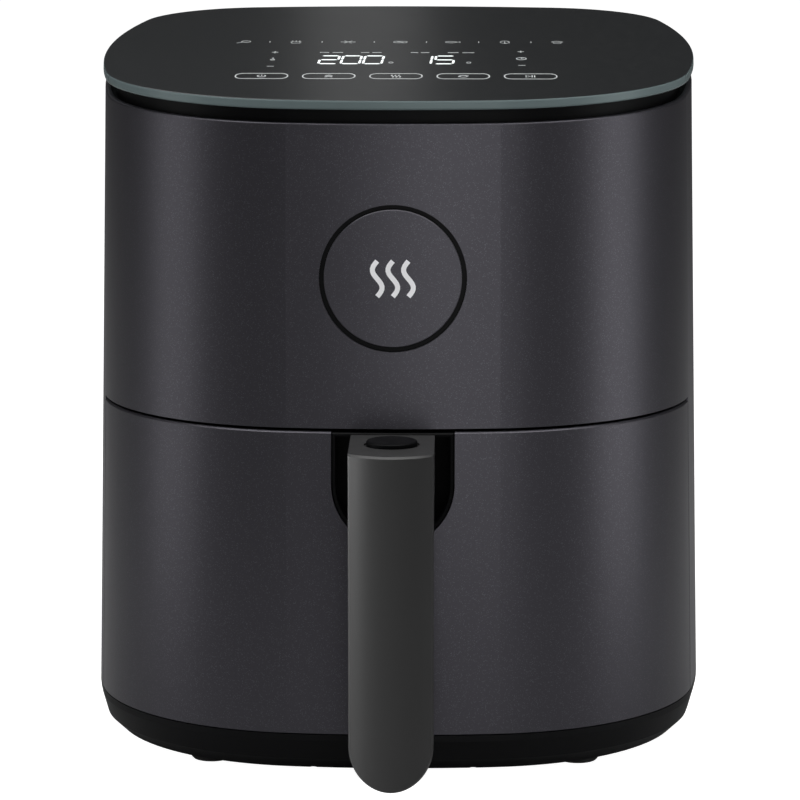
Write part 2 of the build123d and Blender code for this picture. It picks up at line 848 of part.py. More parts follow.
# ---------------------------------------------------------------- cooking chamber
def cavity_liner():
    low = tray_top + liner_rise
    half = liner_half_width
    outer = block(-half - liner_wall, half + liner_wall, -BIG, liner_rear + liner_wall, low, roof_bottom)
    inner = block(-half, half, -BIG, liner_rear, low + liner_wall, roof_bottom + 5)
    liner = (outer - inner) & drafted(-bulkhead_offset - bulkhead_wall, 0, 400)
    return liner - duct_bore()


def drawer_rails():
    top = pan_rim - 1.5 - 0.3
    rails = []
    for side in (-1, 1):
        x0, x1 = sorted((side * (liner_half_width - 3.4), side * liner_half_width))
        rails.append(block(x0, x1, drawer_split_y - 4, liner_rear - 20, top - 6, top))
    return rails


def cavity_roof():
    plate = drafted(-skin_wall - 6, roof_bottom, roof_top) & ahead_of(liner_rear + 12)
    return plate - rod(0, fan_y, roof_bottom - 1, roof_top + 1, dome_radius - dome_wall)


def heater_dome():
    wall = rod(0, fan_y, roof_top, dome_top, dome_radius)
    wall = fillet(wall.edges().sort_by(Axis.Z)[-1:], radius=8)
    hollow = rod(0, fan_y, roof_top - 1, dome_top - dome_wall, dome_radius - dome_wall)
    hollow = fillet(hollow.edges().sort_by(Axis.Z)[-1:], radius=8 - dome_wall)
    flange = rod(0, fan_y, roof_top, roof_top + dome_wall, dome_radius + 5)
    dome = wall + flange - hollow
    dome -= rod(0, fan_y, dome_top - 5, dome_top + 5, shaft_radius + 3)
    for x, y in terminal_places():
        dome -= rod(x, y, dome_top - 5, dome_top + 5, 4)
    for x, y in sensor_places():
        dome -= rod(x, y, dome_top - 5, dome_top + 5, 2.4)
    return dome


def heater_level():
    return roof_top + heater_lift


def ring_point(radius, angle):
    return (radius * cos(radians(angle)), fan_y + radius * sin(radians(angle)), heater_level())


def terminal_places():
    """Plan of the heater's two ends, outside the sweep of the fan."""
    return [ring_point(heater_radius, angle)[:2] for angle in (heater_end_angle, -heater_end_angle)]


def heating_element():
    """One tube in three rings: out, back and round the middle, both ends outside."""
    outer, middle, inner = (heater_radius - heater_pitch * step for step in range(3))
    far = 180 - heater_turn_angle
    near = heater_turn_angle
    runs = [
        (outer, heater_end_angle, far),
        (middle, far, near),
        (inner, near, 360 - near),
        (middle, 360 - near, 360 - far),
        (outer, 360 - far, 360 - heater_end_angle),
    ]
    arcs = []
    for step, (radius, start, end) in enumerate(runs):
        middle_angle = (start + end) / 2
        points = [ring_point(radius, angle) for angle in (start, middle_angle, end)]
        arcs.append(ThreePointArc(*points))
        if step + 1 < len(runs):
            after = runs[step + 1][0]
            bend = ring_point((radius + after) / 2, end)
            onward = radians(end + (90 if end > start else -90))
            bulge = heater_pitch / 2
            tip = (bend[0] + bulge * cos(onward), bend[1] + bulge * sin(onward), bend[2])
            arcs.append(ThreePointArc(points[2], tip, ring_point(after, end)))
    start = ring_point(outer, heater_end_angle)
    heading = radians(heater_end_angle + 90)
    profile = Plane(origin=start, z_dir=(cos(heading), sin(heading), 0)) * Circle(heater_tube / 2)
    return sweep(profile, path=Wire(arcs))


def heater_terminals():
    posts = []
    for x, y in terminal_places():
        low = heater_level() + heater_tube / 2
        post = rod(x, y, low, dome_top, 3.9) + rod(x, y, dome_top, dome_top + 1.6, 6)
        posts.append(post + rod(x, y, dome_top + 1.6, dome_top + 9, 2))
    return posts


def fan_guard():
    low = roof_top + guard_lift
    rim = dome_radius - dome_wall
    disc = rod(0, fan_y, low, low + 1.2, rim)
    spokes = [Pos(0, fan_y, low) * Rot(0, 0, 60 * step) * Box(BIG, 5, 9) for step in range(3)]
    pitch = (rim - 21) / guard_rings
    for step in range(guard_rings):
        radius = 24 + pitch * step
        cut = rod(0, fan_y, low - 1, low + 3, radius + pitch - 5)
        cut -= rod(0, fan_y, low - 2, low + 4, radius)
        disc -= cut - spokes
    return disc


def hot_fan():
    low = roof_top + hot_fan_lift
    top = low + hot_fan_height
    disc = rod(0, fan_y, top - blade_wall, top, hot_fan_radius)
    hub = rod(0, fan_y, low, top, 9)
    blades = []
    for step in range(12):
        blade = block(16, hot_fan_radius - 1, -0.5, 0.5, low, top - blade_wall)
        blades.append(Pos(0, fan_y, 0) * Rot(0, 0, 30 * step) * blade)
    fan = disc + hub + blades
    fan += rod(0, fan_y, top - 3, top, 18)
    return fan - rod(0, fan_y, low - 1, top + 1, shaft_radius)


def hub_nut():
    low = roof_top + hot_fan_lift
    nut = Pos(0, fan_y, low - 5) * extrude(RegularPolygon(5.5, 6), 5)
    return nut - rod(0, fan_y, low - 6, low + 1, shaft_radius)


def motor_shaft():
    return rod(0, fan_y, roof_top + hot_fan_lift - 6, motor_top + 4, shaft_radius)


def heat_shield():
    shield = rod(0, fan_y, dome_top, shield_top, dome_radius - 14)
    shield -= rod(0, fan_y, dome_top - 1, shield_top + 1, shaft_radius + 3)
    for x, y in terminal_places():
        shield -= rod(x, y, dome_top - 1, shield_top + 1, 6.4)
    for x, y in sensor_places():
        shield -= rod(x, y, dome_top - 1, shield_top + 1, 2.4)
    return shield


def cooling_fan():
    low = shield_top + cooling_fan_lift
    top = low + cooling_fan_height
    disc = rod(0, fan_y, low, low + 1.5, cooling_fan_radius)
    blades = []
    for step in range(9):
        blade = block(11, cooling_fan_radius - 1, -0.9, 0.9, low + 1.5, top)
        blades.append(Pos(0, fan_y, 0) * Rot(0, 0, 40 * step) * blade)
    fan = disc + rod(0, fan_y, low, top, 8) + blades
    return fan - rod(0, fan_y, low - 1, top + 1, shaft_radius)


def motor_bridge():
    """Bent sheet that spans the dome and carries the motor."""
    low = bridge_level
    top = low + motor_wall
    reach = bracket_span + motor_wall
    front = fan_y - 34
    rear = fan_y + 34
    bridge = block(-reach, reach, front, rear, low, top)
    for side in (-1, 1):
        x0, x1 = sorted((side * bracket_span, side * reach))
        bridge += block(x0, x1, front, rear, roof_top, top)
    bridge -= rod(0, fan_y, low - 1, low + 5, 7)
    for x, y in motor_bolt_places():
        bridge -= rod(x, y, low - 1, low + 5, screw_radius)
    for side in (-1, 1):
        x = side * (bracket_span - 37)
        bridge -= Pos(x, fan_y, low) * extrude(SlotOverall(44, 12), 5, both=True)
    return bridge


def motor_bolt_places():
    reach = stator_side / 2 - 5
    return [(reach * sx, fan_y + reach * sy) for sx in (-1, 1) for sy in (-1, 1)]


def motor_stator():
    low = stator_low
    middle = low + stator_height / 2
    core = Pos(0, fan_y, low) * extrude(RectangleRounded(stator_side, stator_side, 4), stator_height)
    core -= rod(0, fan_y, low - 1, low + stator_height + 1, rotor_radius + rotor_clearance)
    for side in (-1, 1):
        core -= Pos(side * slot_x, fan_y, middle) * Box(slot_width, 24, stator_height + 2)
    for x, y in motor_bolt_places():
        core -= rod(x, y, low - 1, low + stator_height + 1, screw_radius)
    return core


def motor_coils():
    """Two windings, each down one slot of the stator and over its ends."""
    middle = stator_low + stator_height / 2
    coils = []
    for side in (-1, 1):
        winding = Pos(side * slot_x, fan_y, middle) * Box(slot_width, 22, stator_height + 3)
        tooth = Pos(side * (slot_x + 3), fan_y, middle) * Box(slot_width, 24, stator_height)
        coils.append(winding - tooth)
    return coils


def motor_rotor():
    low = stator_low + 1
    rotor = rod(0, fan_y, low, low + stator_height - 2, rotor_radius)
    return rotor - rod(0, fan_y, low - 1, low + stator_height, shaft_radius)


def motor_frame():
    """Strap over the stator that holds the upper bush."""
    low = top_frame_low
    strap = Pos(0, fan_y, low) * extrude(RectangleRounded(stator_side, stator_side, 4), motor_wall)
    for x, y in motor_bolt_places():
        strap += rod(x, y, stator_low + stator_height, low, 3.4)
        strap -= rod(x, y, stator_low, low + 5, screw_radius)
    return strap - rod(0, fan_y, low - 1, low + 5, 7)


def motor_bushes():
    pair = []
    for low in (bridge_level, top_frame_low):
        bush = rod(0, fan_y, low - 1.5, low + motor_wall + 1.5, 7)
        bush += rod(0, fan_y, low + motor_wall, low + motor_wall + 1.5, 8.5)
        pair.append(bush - rod(0, fan_y, low - 5, low + 9, shaft_radius + shaft_clearance))
    return pair


def motor_spacers():
    spacers = []
    for x, y in motor_bolt_places():
        tube = rod(x, y, bridge_level + motor_wall, stator_low, 3.4)
        spacers.append(tube - rod(x, y, bridge_level, stator_low + 1, screw_radius))
    return spacers


def motor_screws():
    top = top_frame_low + motor_wall
    length = top_frame_low - bridge_level + 4
    return [screw_down(x, y, top, length) for x, y in motor_bolt_places()]


# --------------------------------------------------------------------- electrics
def board_rear_y():
    return liner_rear + 14.0


def power_board():
    y = board_rear_y()
    return block(-58, 58, y, y + 1.6, tray_top + 8, vent_low - 6)


def board_brackets():
    y = board_rear_y()
    feet = []
    for side in (-1, 1):
        x0, x1 = sorted((side * 44, side * 56))
        post = block(x0, x1, y - 3, y, foot_height + tray_wall, vent_low - 10)
        feet.append(post)
    return feet


def power_parts():
    """Transformer, two relays, smoothing capacitors and a heat sink on the board."""
    face = board_rear_y() + 1.6
    low = tray_top + 12
    parts = [
        block(-50, -24, face, face + 18, low, low + 24),
        block(-16, 0, face, face + 15, low, low + 20),
        block(6, 22, face, face + 15, low, low + 20),
    ]
    parts += [rod_y(34 + 14 * step, low + 8, face, face + 16, 6) for step in range(2)]
    fins = block(-50, 10, face, face + 2, low + 30, low + 46)
    for step in range(9):
        fins += block(-50 + 7 * step, -48 + 7 * step, face, face + 14, low + 30, low + 46)
    parts.append(fins)
    return parts


def switch_x():
    """Middle of the gap between the bulkhead wall and the skin, at the drawer's side."""
    angle = asin((drawer_split_y - side_centre[1]) / side_radius)
    return side_centre[0] + side_radius * cos(angle) - (skin_wall + drawer_thickness) / 2


def switch_height():
    return tray_top + 80.0


def interlock_switch():
    x = switch_x()
    z = switch_height()
    y0 = drawer_split_y + side_gap / 2 + 2
    body = block(x - 3.2, x + 3.2, y0, y0 + 12, z - 10, z + 10)
    return body - rod_y(x, z, y0 - 1, y0 + 9, plunger_radius + plunger_clearance)


def switch_plunger():
    tip = drawer_split_y - side_gap / 2 - 0.2
    return rod_y(switch_x(), switch_height(), tip, tip + 10, plunger_radius)


def sensor_places():
    reach = (hot_fan_radius + 7) * cos(radians(45))
    return [(reach, fan_y - reach), (-reach, fan_y - reach)]


def thermal_sensors():
    """A temperature probe and a cut-off, each through the top of the dome."""
    sensors = []
    for x, y in sensor_places():
        probe = rod(x, y, dome_top - 8, shield_top + 1, 2.4)
        sensors.append(probe + rod(x, y, shield_top, shield_top + 5, 6))
    return sensors


def cord_gland():
    rear = rear_reach - gland_proud
    flange = rod_y(gland_x, gland_height, rear - 40, rear_reach, gland_radius) - drafted(0, 0, 200)
    neck = rod_y(gland_x, gland_height, rear - 16, rear_reach - 1, gland_radius - 2)
    return flange + neck - rod_y(gland_x, gland_height, rear - 20, rear_reach + 5, gland_bore)


nodes = [
    outer_shell,
    rear_grille,
    exhaust_duct,
    base_tray,
    rubber_feet,
    base_screws,
    front_bulkhead,
    top_bezel,
    glass_panel,
    board_carrier,
    control_board,
    board_screws,
    display_module,
    display_lens,
    touch_springs,
    badge_back,
    badge_disc,
    drawer_front,
    drawer_liner,
    handle_cup,
    handle_shell,
    handle_back_cover,
    handle_core,
    handle_screws,
    release_button,
    latch_hook,
    button_spring,
    pan,
    pan_bracket,
    bracket_rivets,
    crisper_plate,
    plate_loop,
    plate_bumpers,
    cavity_liner,
    drawer_rails,
    cavity_roof,
    heater_dome,
    heating_element,
    heater_terminals,
    fan_guard,
    hot_fan,
    hub_nut,
    motor_shaft,
    heat_shield,
    cooling_fan,
    motor_bridge,
    motor_stator,
    motor_coils,
    motor_rotor,
    motor_frame,
    motor_bushes,
    motor_spacers,
    motor_screws,
    power_board,
    board_brackets,
    power_parts,
    thermal_sensors,
    interlock_switch,
    switch_plunger,
    cord_gland,
]

os.makedirs("parts", exist_ok=True)
for make in nodes:
    made = make()
    pieces = made if isinstance(made, list) else [made]
    solids = [solid for piece in pieces for solid in piece.solids()]
    moved = [Pos(0, body_shift, 0) * solid for solid in solids]
    shape = moved[0] if len(moved) == 1 else Compound(moved)
    export_step(shape, f"parts/{make.__name__}.step")
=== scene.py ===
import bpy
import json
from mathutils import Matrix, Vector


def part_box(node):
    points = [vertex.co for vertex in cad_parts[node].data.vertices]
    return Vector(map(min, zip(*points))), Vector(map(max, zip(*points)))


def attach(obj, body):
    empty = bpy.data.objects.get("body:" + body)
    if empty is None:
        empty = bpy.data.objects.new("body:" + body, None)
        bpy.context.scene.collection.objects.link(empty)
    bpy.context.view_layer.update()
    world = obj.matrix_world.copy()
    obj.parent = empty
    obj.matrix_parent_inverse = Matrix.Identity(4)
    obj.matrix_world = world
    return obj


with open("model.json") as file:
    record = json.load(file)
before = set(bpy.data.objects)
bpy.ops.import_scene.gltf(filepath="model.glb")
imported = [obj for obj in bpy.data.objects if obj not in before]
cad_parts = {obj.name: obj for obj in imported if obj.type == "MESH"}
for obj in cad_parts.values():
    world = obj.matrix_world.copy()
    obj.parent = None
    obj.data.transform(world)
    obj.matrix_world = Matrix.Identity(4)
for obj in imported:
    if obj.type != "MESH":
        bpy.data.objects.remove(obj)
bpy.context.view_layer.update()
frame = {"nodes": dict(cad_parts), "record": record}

import json
from math import cos, hypot, pi, radians, sin

import bmesh
import bpy
from mathutils import Vector
from mathutils.bvhtree import BVHTree

bl_info = {
    "name": "Compact Basket Air Fryer",
    "version": (1, 0, 0),
    "blender": (4, 5, 0),
    "location": "3D View > Sidebar > Air Fryer",
    "description": "Dresses the air fryer's parts and adds its panel graphics, badge mark and studio",
    "category": "Object",
}

MM = 0.001
BODY_CENTRE_Y = 0.025436  # the body's own centre line, behind the origin of the footprint
LIGHT_AIM = (0.0, BODY_CENTRE_Y, 0.15)
CAMERA_AZIMUTH = 1.05  # degrees to the right of straight ahead
CAMERA_DISTANCE = 1.8
CAMERA_HEIGHT = 0.45412
CAMERA_AIM = (0.0002, BODY_CENTRE_Y, 0.13846)
SENSOR_WIDTH = 36.0


# ------------------------------------------------------------------ sizes and colours
def colour(name, description, default):
    return bpy.props.FloatVectorProperty(
        name=name, description=description, default=default, size=3, min=0.0, max=1.0, subtype="COLOR"
    )


def length(name, description, default):
    return bpy.props.FloatProperty(
        name=name, description=description, default=default, min=0.0, unit="LENGTH", subtype="DISTANCE"
    )


def number(name, description, default, low=0.0, high=1.0):
    return bpy.props.FloatProperty(name=name, description=description, default=default, min=low, max=high)


class FryerFinishes(bpy.types.PropertyGroup):
    """Colours and gloss of the visible finishes."""

    shell: colour("Casing", "Satin metallic paint of the casing and the drawer front", (0.050, 0.048, 0.057))
    flake: colour("Flake", "Colour of the fine metallic flakes in the paint", (0.088, 0.086, 0.100))
    shell_roughness: number("Casing Roughness", "How widely the paint spreads a highlight", 0.40)
    black: colour("Black Moulding", "Base tray, neck and handle recess", (0.0034, 0.0035, 0.0039))
    handle: colour("Handle", "Dark grey moulding of the handle", (0.026, 0.026, 0.026))
    glass: colour("Panel Glass", "Dark print behind the touch glass", (0.010, 0.011, 0.012))
    glass_edge: colour("Glass Edge", "Greenish edge of the touch glass", (0.105, 0.135, 0.138))
    print_ink: colour("Panel Print", "Grey-white print on the panel", (0.52, 0.54, 0.54))
    digits: colour("Digits", "Light of the lit digits", (0.80, 0.84, 0.84))
    badge_ink: colour("Badge Mark", "Bright mark in the middle of the badge", (0.78, 0.78, 0.80))


class FryerPanel(bpy.types.PropertyGroup):
    """Sizes of the graphics on the touch panel and the badge."""

    print_height: length("Print Thickness", "How far the print stands above the surface", 0.00006)
    key_width: length("Key Width", "Width of a key outline", 0.0226)
    key_depth: length("Key Depth", "Front-to-back size of a key outline", 0.0150)
    key_radius: length("Key Corner", "Corner radius of a key outline", 0.0066)
    key_pitch: length("Key Pitch", "Spacing of the key outlines", 0.0292)
    key_row: length("Key Row", "Distance of the key row in front of the body's centre line", 0.0850)
    digit_width: length("Digit Width", "Width of one digit", 0.0082)
    digit_depth: length("Digit Depth", "Front-to-back size of one digit", 0.0240)
    mark_height: length("Badge Mark Height", "Height of the wavy lines on the badge", 0.0150)


class FryerStage(bpy.types.PropertyGroup):
    """Studio round the object."""

    floor_size: length("Floor", "Edge length of the pale floor", 14.0)
    backdrop: number("Backdrop", "Brightness of the backdrop", 1.0, 0.0, 10.0)
    surround: number("Surround", "Brightness of the room as the object sees it", 0.15, 0.0, 10.0)
    overhead: number("Overhead Light", "Power of the overhead softbox, in watts", 22.0, 0.0, 500.0)
    left_strip: number("Left Strip", "Power of the left strip light, in watts", 2.0, 0.0, 500.0)
    right_strip: number("Right Strip", "Power of the right strip light, in watts", 2.75, 0.0, 500.0)
    front_strip: number("Front Strip", "Power of the strip beside the camera, in watts", 2.3, 0.0, 500.0)
    grip_key: number("Grip Key", "Power of the key light on the handle, in watts", 5.5, 0.0, 500.0)
    grip_rim: number("Grip Rim", "Power of the rim light on the handle, in watts", 6.0, 0.0, 500.0)
    rear_fill: number("Rear Fill", "Power of the high light behind the object, in watts", 9.0, 0.0, 500.0)
    rear_glow: number("Rear Glow", "Power of the soft light low behind, in watts", 0.05, 0.0, 500.0)
    focal_length: bpy.props.FloatProperty(
        name="Focal Length", description="Focal length of the camera", default=178.04, min=10.0, unit="CAMERA"
    )


# ---------------------------------------------------------------------- node helpers
def add(tree, kind, inputs=None, **settings):
    """Adds a node; inputs are constants or sockets to link."""
    node = tree.nodes.new(kind)
    for key, value in settings.items():
        setattr(node, key, value)
    for key, value in (inputs or {}).items():
        if isinstance(value, bpy.types.NodeSocket):
            tree.links.new(value, node.inputs[key])
        else:
            node.inputs[key].default_value = value
    return node


def maths(tree, operation, first, second=0.0):
    return add(tree, "ShaderNodeMath", {0: first, 1: second}, operation=operation).outputs[0]


def new_group(name, inputs, outputs):
    """A shader node group with named sockets; returns it with its two end nodes."""
    group = bpy.data.node_groups.new(name, "ShaderNodeTree")
    for label, default in inputs:
        kind = "NodeSocketColor" if isinstance(default, tuple) else "NodeSocketFloat"
        socket = group.interface.new_socket(name=label, in_out="INPUT", socket_type=kind)
        socket.default_value = default
    for label, kind in outputs:
        group.interface.new_socket(name=label, in_out="OUTPUT", socket_type=kind)
    return group, group.nodes.new("NodeGroupInput"), group.nodes.new("NodeGroupOutput")


def object_point(tree):
    return add(tree, "ShaderNodeTexCoord").outputs["Object"]


GROUPS = {}


def use(tree, name, inputs):
    """Places one of the shared effects in a material."""
    return add(tree, "ShaderNodeGroup", inputs, node_tree=GROUPS[name])


def make_groups():
    """Builds the effects that several materials share."""
    for build in (tone_group, grain_group, smudge_group, flake_group, brushed_group, dust_group, bands_group):
        group = build()
        GROUPS[group.name] = group


def tone_group():
    """Slow drift of a colour over a moulding or a coating."""
    group, start, end = new_group(
        "Tone Drift",
        [("Colour", (0.5, 0.5, 0.5, 1.0)), ("Scale", 8.0), ("Spread", 0.1)],
        [("Colour", "NodeSocketColor")],
    )
    noise = add(
        group,
        "ShaderNodeTexNoise",
        {"Vector": object_point(group), "Scale": start.outputs["Scale"], "Detail": 3.0},
    )
    centred = maths(group, "SUBTRACT", noise.outputs[0], 0.5)
    swing = maths(group, "MULTIPLY", centred, start.outputs["Spread"])
    factor = maths(group, "ADD", maths(group, "MULTIPLY", swing, 2.0), 1.0)
    shade = add(group, "ShaderNodeHueSaturation", {"Color": start.outputs["Colour"], "Value": factor})
    group.links.new(shade.outputs[0], end.inputs["Colour"])
    return group


def grain_group():
    """Fine spark-eroded grain of a moulding."""
    group, start, end = new_group(
        "Moulded Grain", [("Scale", 900.0), ("Depth", 1.0)], [("Height", "NodeSocketFloat")]
    )
    point = object_point(group)
    scale = start.outputs["Scale"]
    coarse = add(group, "ShaderNodeTexNoise", {"Vector": point, "Scale": scale, "Detail": 2.0})
    fine_scale = maths(group, "MULTIPLY", scale, 2.3)
    pits = add(group, "ShaderNodeTexVoronoi", {"Vector": point, "Scale": fine_scale})
    mixed = maths(group, "ADD", coarse.outputs[0], maths(group, "MULTIPLY", pits.outputs["Distance"], 0.5))
    group.links.new(maths(group, "MULTIPLY", mixed, start.outputs["Depth"]), end.inputs["Height"])
    return group


def smudge_group():
    """Roughness that varies softly where hands and cloths have been."""
    group, start, end = new_group(
        "Handling",
        [("Roughness", 0.4), ("Spread", 0.05), ("Scale", 14.0)],
        [("Roughness", "NodeSocketFloat")],
    )
    noise = add(
        group,
        "ShaderNodeTexNoise",
        {"Vector": object_point(group), "Scale": start.outputs["Scale"], "Detail": 5.0, "Distortion": 0.6},
    )
    swing = maths(group, "MULTIPLY", maths(group, "SUBTRACT", noise.outputs[0], 0.5), 2.0)
    spread = maths(group, "MULTIPLY", swing, start.outputs["Spread"])
    total = maths(group, "ADD", spread, start.outputs["Roughness"])
    group.links.new(total, end.inputs["Roughness"])
    return group


def flake_group():
    """Metallic flakes scattered in a paint or a coating."""
    group, start, end = new_group(
        "Metal Flake",
        [
            ("Colour", (0.05, 0.05, 0.05, 1.0)),
            ("Flake", (0.2, 0.2, 0.2, 1.0)),
            ("Scale", 1500.0),
            ("Share", 0.2),
        ],
        [("Colour", "NodeSocketColor"), ("Mask", "NodeSocketFloat")],
    )
    scale = start.outputs["Scale"]
    cells = add(group, "ShaderNodeTexVoronoi", {"Vector": object_point(group), "Scale": scale})
    pick = add(group, "ShaderNodeSeparateColor", {"Color": cells.outputs["Color"]}).outputs[0]
    lit = maths(group, "LESS_THAN", pick, start.outputs["Share"])
    body = maths(group, "LESS_THAN", cells.outputs["Distance"], 0.45)
    mask = maths(group, "MULTIPLY", lit, body)
    blend = add(
        group,
        "ShaderNodeMix",
        {0: mask, 6: start.outputs["Colour"], 7: start.outputs["Flake"]},
        data_type="RGBA",
    )
    group.links.new(blend.outputs[2], end.inputs["Colour"])
    group.links.new(mask, end.inputs["Mask"])
    return group


def brushed_group():
    """Fine lines left by rolling, brushing or turning, along one axis."""
    group, start, end = new_group(
        "Brushed Lines",
        [("Scale", 600.0), ("Along X", 1.0), ("Along Y", 1.0), ("Along Z", 0.02)],
        [("Height", "NodeSocketFloat"), ("Mask", "NodeSocketFloat")],
    )
    factors = add(
        group,
        "ShaderNodeCombineXYZ",
        {0: start.outputs["Along X"], 1: start.outputs["Along Y"], 2: start.outputs["Along Z"]},
    )
    point = add(
        group,
        "ShaderNodeVectorMath",
        {0: object_point(group), 1: factors.outputs[0]},
        operation="MULTIPLY",
    )
    noise = add(
        group,
        "ShaderNodeTexNoise",
        {"Vector": point.outputs[0], "Scale": start.outputs["Scale"], "Detail": 4.0},
    )
    group.links.new(noise.outputs[0], end.inputs["Height"])
    ramp = add(group, "ShaderNodeMapRange", {"Value": noise.outputs[0], "From Min": 0.35, "From Max": 0.65})
    group.links.new(ramp.outputs[0], end.inputs["Mask"])
    return group


def dust_group():
    """A trace of dust that settles on faces turned upwards."""
    group, start, end = new_group(
        "Settled Dust",
        [("Colour", (0.1, 0.1, 0.1, 1.0)), ("Dust", (0.35, 0.34, 0.33, 1.0)), ("Amount", 0.05)],
        [("Colour", "NodeSocketColor")],
    )
    normal = add(group, "ShaderNodeNewGeometry").outputs["Normal"]
    up = add(group, "ShaderNodeSeparateXYZ", {0: normal}).outputs[2]
    facing = add(group, "ShaderNodeMapRange", {"Value": up, "From Min": 0.3, "From Max": 1.0}).outputs[0]
    noise = add(group, "ShaderNodeTexNoise", {"Vector": object_point(group), "Scale": 220.0, "Detail": 6.0})
    specks = add(group, "ShaderNodeMapRange", {"Value": noise.outputs[0], "From Min": 0.45, "From Max": 0.7})
    settled = maths(group, "MULTIPLY", facing, specks.outputs[0])
    mask = maths(group, "MULTIPLY", settled, start.outputs["Amount"])
    blend = add(
        group,
        "ShaderNodeMix",
        {0: mask, 6: start.outputs["Colour"], 7: start.outputs["Dust"]},
        data_type="RGBA",
    )
    group.links.new(blend.outputs[2], end.inputs["Colour"])
    return group


def bands_group():
    """Even stripes along one axis, for windings, sheet stacks and board traces."""
    group, start, end = new_group(
        "Even Bands",
        [("Scale", 400.0), ("Wobble", 0.2)],
        [("Mask", "NodeSocketFloat"), ("Cross", "NodeSocketFloat")],
    )
    point = object_point(group)
    for axis, socket in (("Z", "Mask"), ("X", "Cross")):
        wave = add(
            group,
            "ShaderNodeTexWave",
            {"Vector": point, "Scale": start.outputs["Scale"], "Distortion": start.outputs["Wobble"]},
            bands_direction=axis,
        )
        group.links.new(wave.outputs["Fac"], end.inputs[socket])
    return group


# --------------------------------------------------------------------------- materials
def new_material(name):
    """A material with its Principled BSDF and node tree."""
    material = bpy.data.materials.new(name)
    material.use_nodes = True
    tree = material.node_tree
    return material, tree, tree.nodes["Principled BSDF"]


def rgba(values):
    return (values[0], values[1], values[2], 1.0)


def bump(tree, shader, height, strength, distance):
    node = add(tree, "ShaderNodeBump", {"Height": height, "Strength": strength, "Distance": distance})
    tree.links.new(node.outputs[0], shader.inputs["Normal"])


def dress(slot, material):
    """Gives the material to every CAD part that the record puts in this slot."""
    dressed = 0
    for part in frame["record"]["subparts"]:
        if part["material_slot"] != slot:
            continue
        holder = frame["nodes"][part["node"]]
        worn = holder.data.materials
        material.diffuse_color = worn[0].diffuse_color if worn else (1, 1, 1, 1)
        holder.data.materials.clear()
        holder.data.materials.append(material)
        dressed += 1
    if not dressed:
        raise RuntimeError(f"no part uses the slot {slot}")


def paint_material(finishes):
    """Satin metallic paint: drifting grey with fine flakes under a soft clear coat."""
    material, tree, shader = new_material("Satin Metallic Paint")
    tone = use(tree, "Tone Drift", {"Colour": rgba(finishes.shell), "Scale": 5.0, "Spread": 0.03})
    flake = use(
        tree,
        "Metal Flake",
        {"Colour": tone.outputs[0], "Flake": rgba(finishes.flake), "Scale": 2600.0, "Share": 0.16},
    )
    dust = use(tree, "Settled Dust", {"Colour": flake.outputs["Colour"], "Amount": 0.02})
    tree.links.new(dust.outputs[0], shader.inputs["Base Color"])
    rough = use(tree, "Handling", {"Roughness": finishes.shell_roughness, "Spread": 0.02, "Scale": 9.0})
    tree.links.new(rough.outputs[0], shader.inputs["Roughness"])
    shader.inputs["Metallic"].default_value = 0.85
    shader.inputs["Coat Weight"].default_value = 0.12
    shader.inputs["Coat Roughness"].default_value = 0.30
    grain = use(tree, "Moulded Grain", {"Scale": 1400.0, "Depth": 1.0})
    bump(tree, shader, grain.outputs[0], 0.05, 0.0002)
    return material


def moulding(name, base, roughness, scale=700.0, strength=0.15, spread=0.04, dust=0.03, sheen=0.0, gloss=0.5):
    """Moulded plastic or rubber with spark-eroded grain."""
    material, tree, shader = new_material(name)
    tone = use(tree, "Tone Drift", {"Colour": rgba(base), "Scale": 12.0, "Spread": 0.06})
    dusty = use(tree, "Settled Dust", {"Colour": tone.outputs[0], "Amount": dust})
    tree.links.new(dusty.outputs[0], shader.inputs["Base Color"])
    rough = use(tree, "Handling", {"Roughness": roughness, "Spread": spread, "Scale": 16.0})
    tree.links.new(rough.outputs[0], shader.inputs["Roughness"])
    shader.inputs["Sheen Weight"].default_value = sheen
    shader.inputs["Specular IOR Level"].default_value = gloss
    grain = use(tree, "Moulded Grain", {"Scale": scale, "Depth": 1.0})
    bump(tree, shader, grain.outputs[0], strength, 0.0002)
    return material


def metal(name, base, roughness, along=(1.0, 1.0, 0.03), scale=500.0, strength=0.08, spread=0.06):
    """Rolled, drawn or turned metal with fine directional lines."""
    material, tree, shader = new_material(name)
    lines = use(
        tree,
        "Brushed Lines",
        {"Scale": scale, "Along X": along[0], "Along Y": along[1], "Along Z": along[2]},
    )
    tone = use(tree, "Tone Drift", {"Colour": rgba(base), "Scale": 20.0, "Spread": 0.10})
    darker = add(tree, "ShaderNodeHueSaturation", {"Color": tone.outputs[0], "Value": 0.82})
    streaks = add(
        tree,
        "ShaderNodeMix",
        {0: lines.outputs["Mask"], 6: darker.outputs[0], 7: tone.outputs[0]},
        data_type="RGBA",
    )
    tree.links.new(streaks.outputs[2], shader.inputs["Base Color"])
    rough = use(tree, "Handling", {"Roughness": roughness, "Spread": spread, "Scale": 30.0})
    tree.links.new(rough.outputs[0], shader.inputs["Roughness"])
    shader.inputs["Metallic"].default_value = 1.0
    bump(tree, shader, lines.outputs["Height"], strength, 0.0001)
    return material


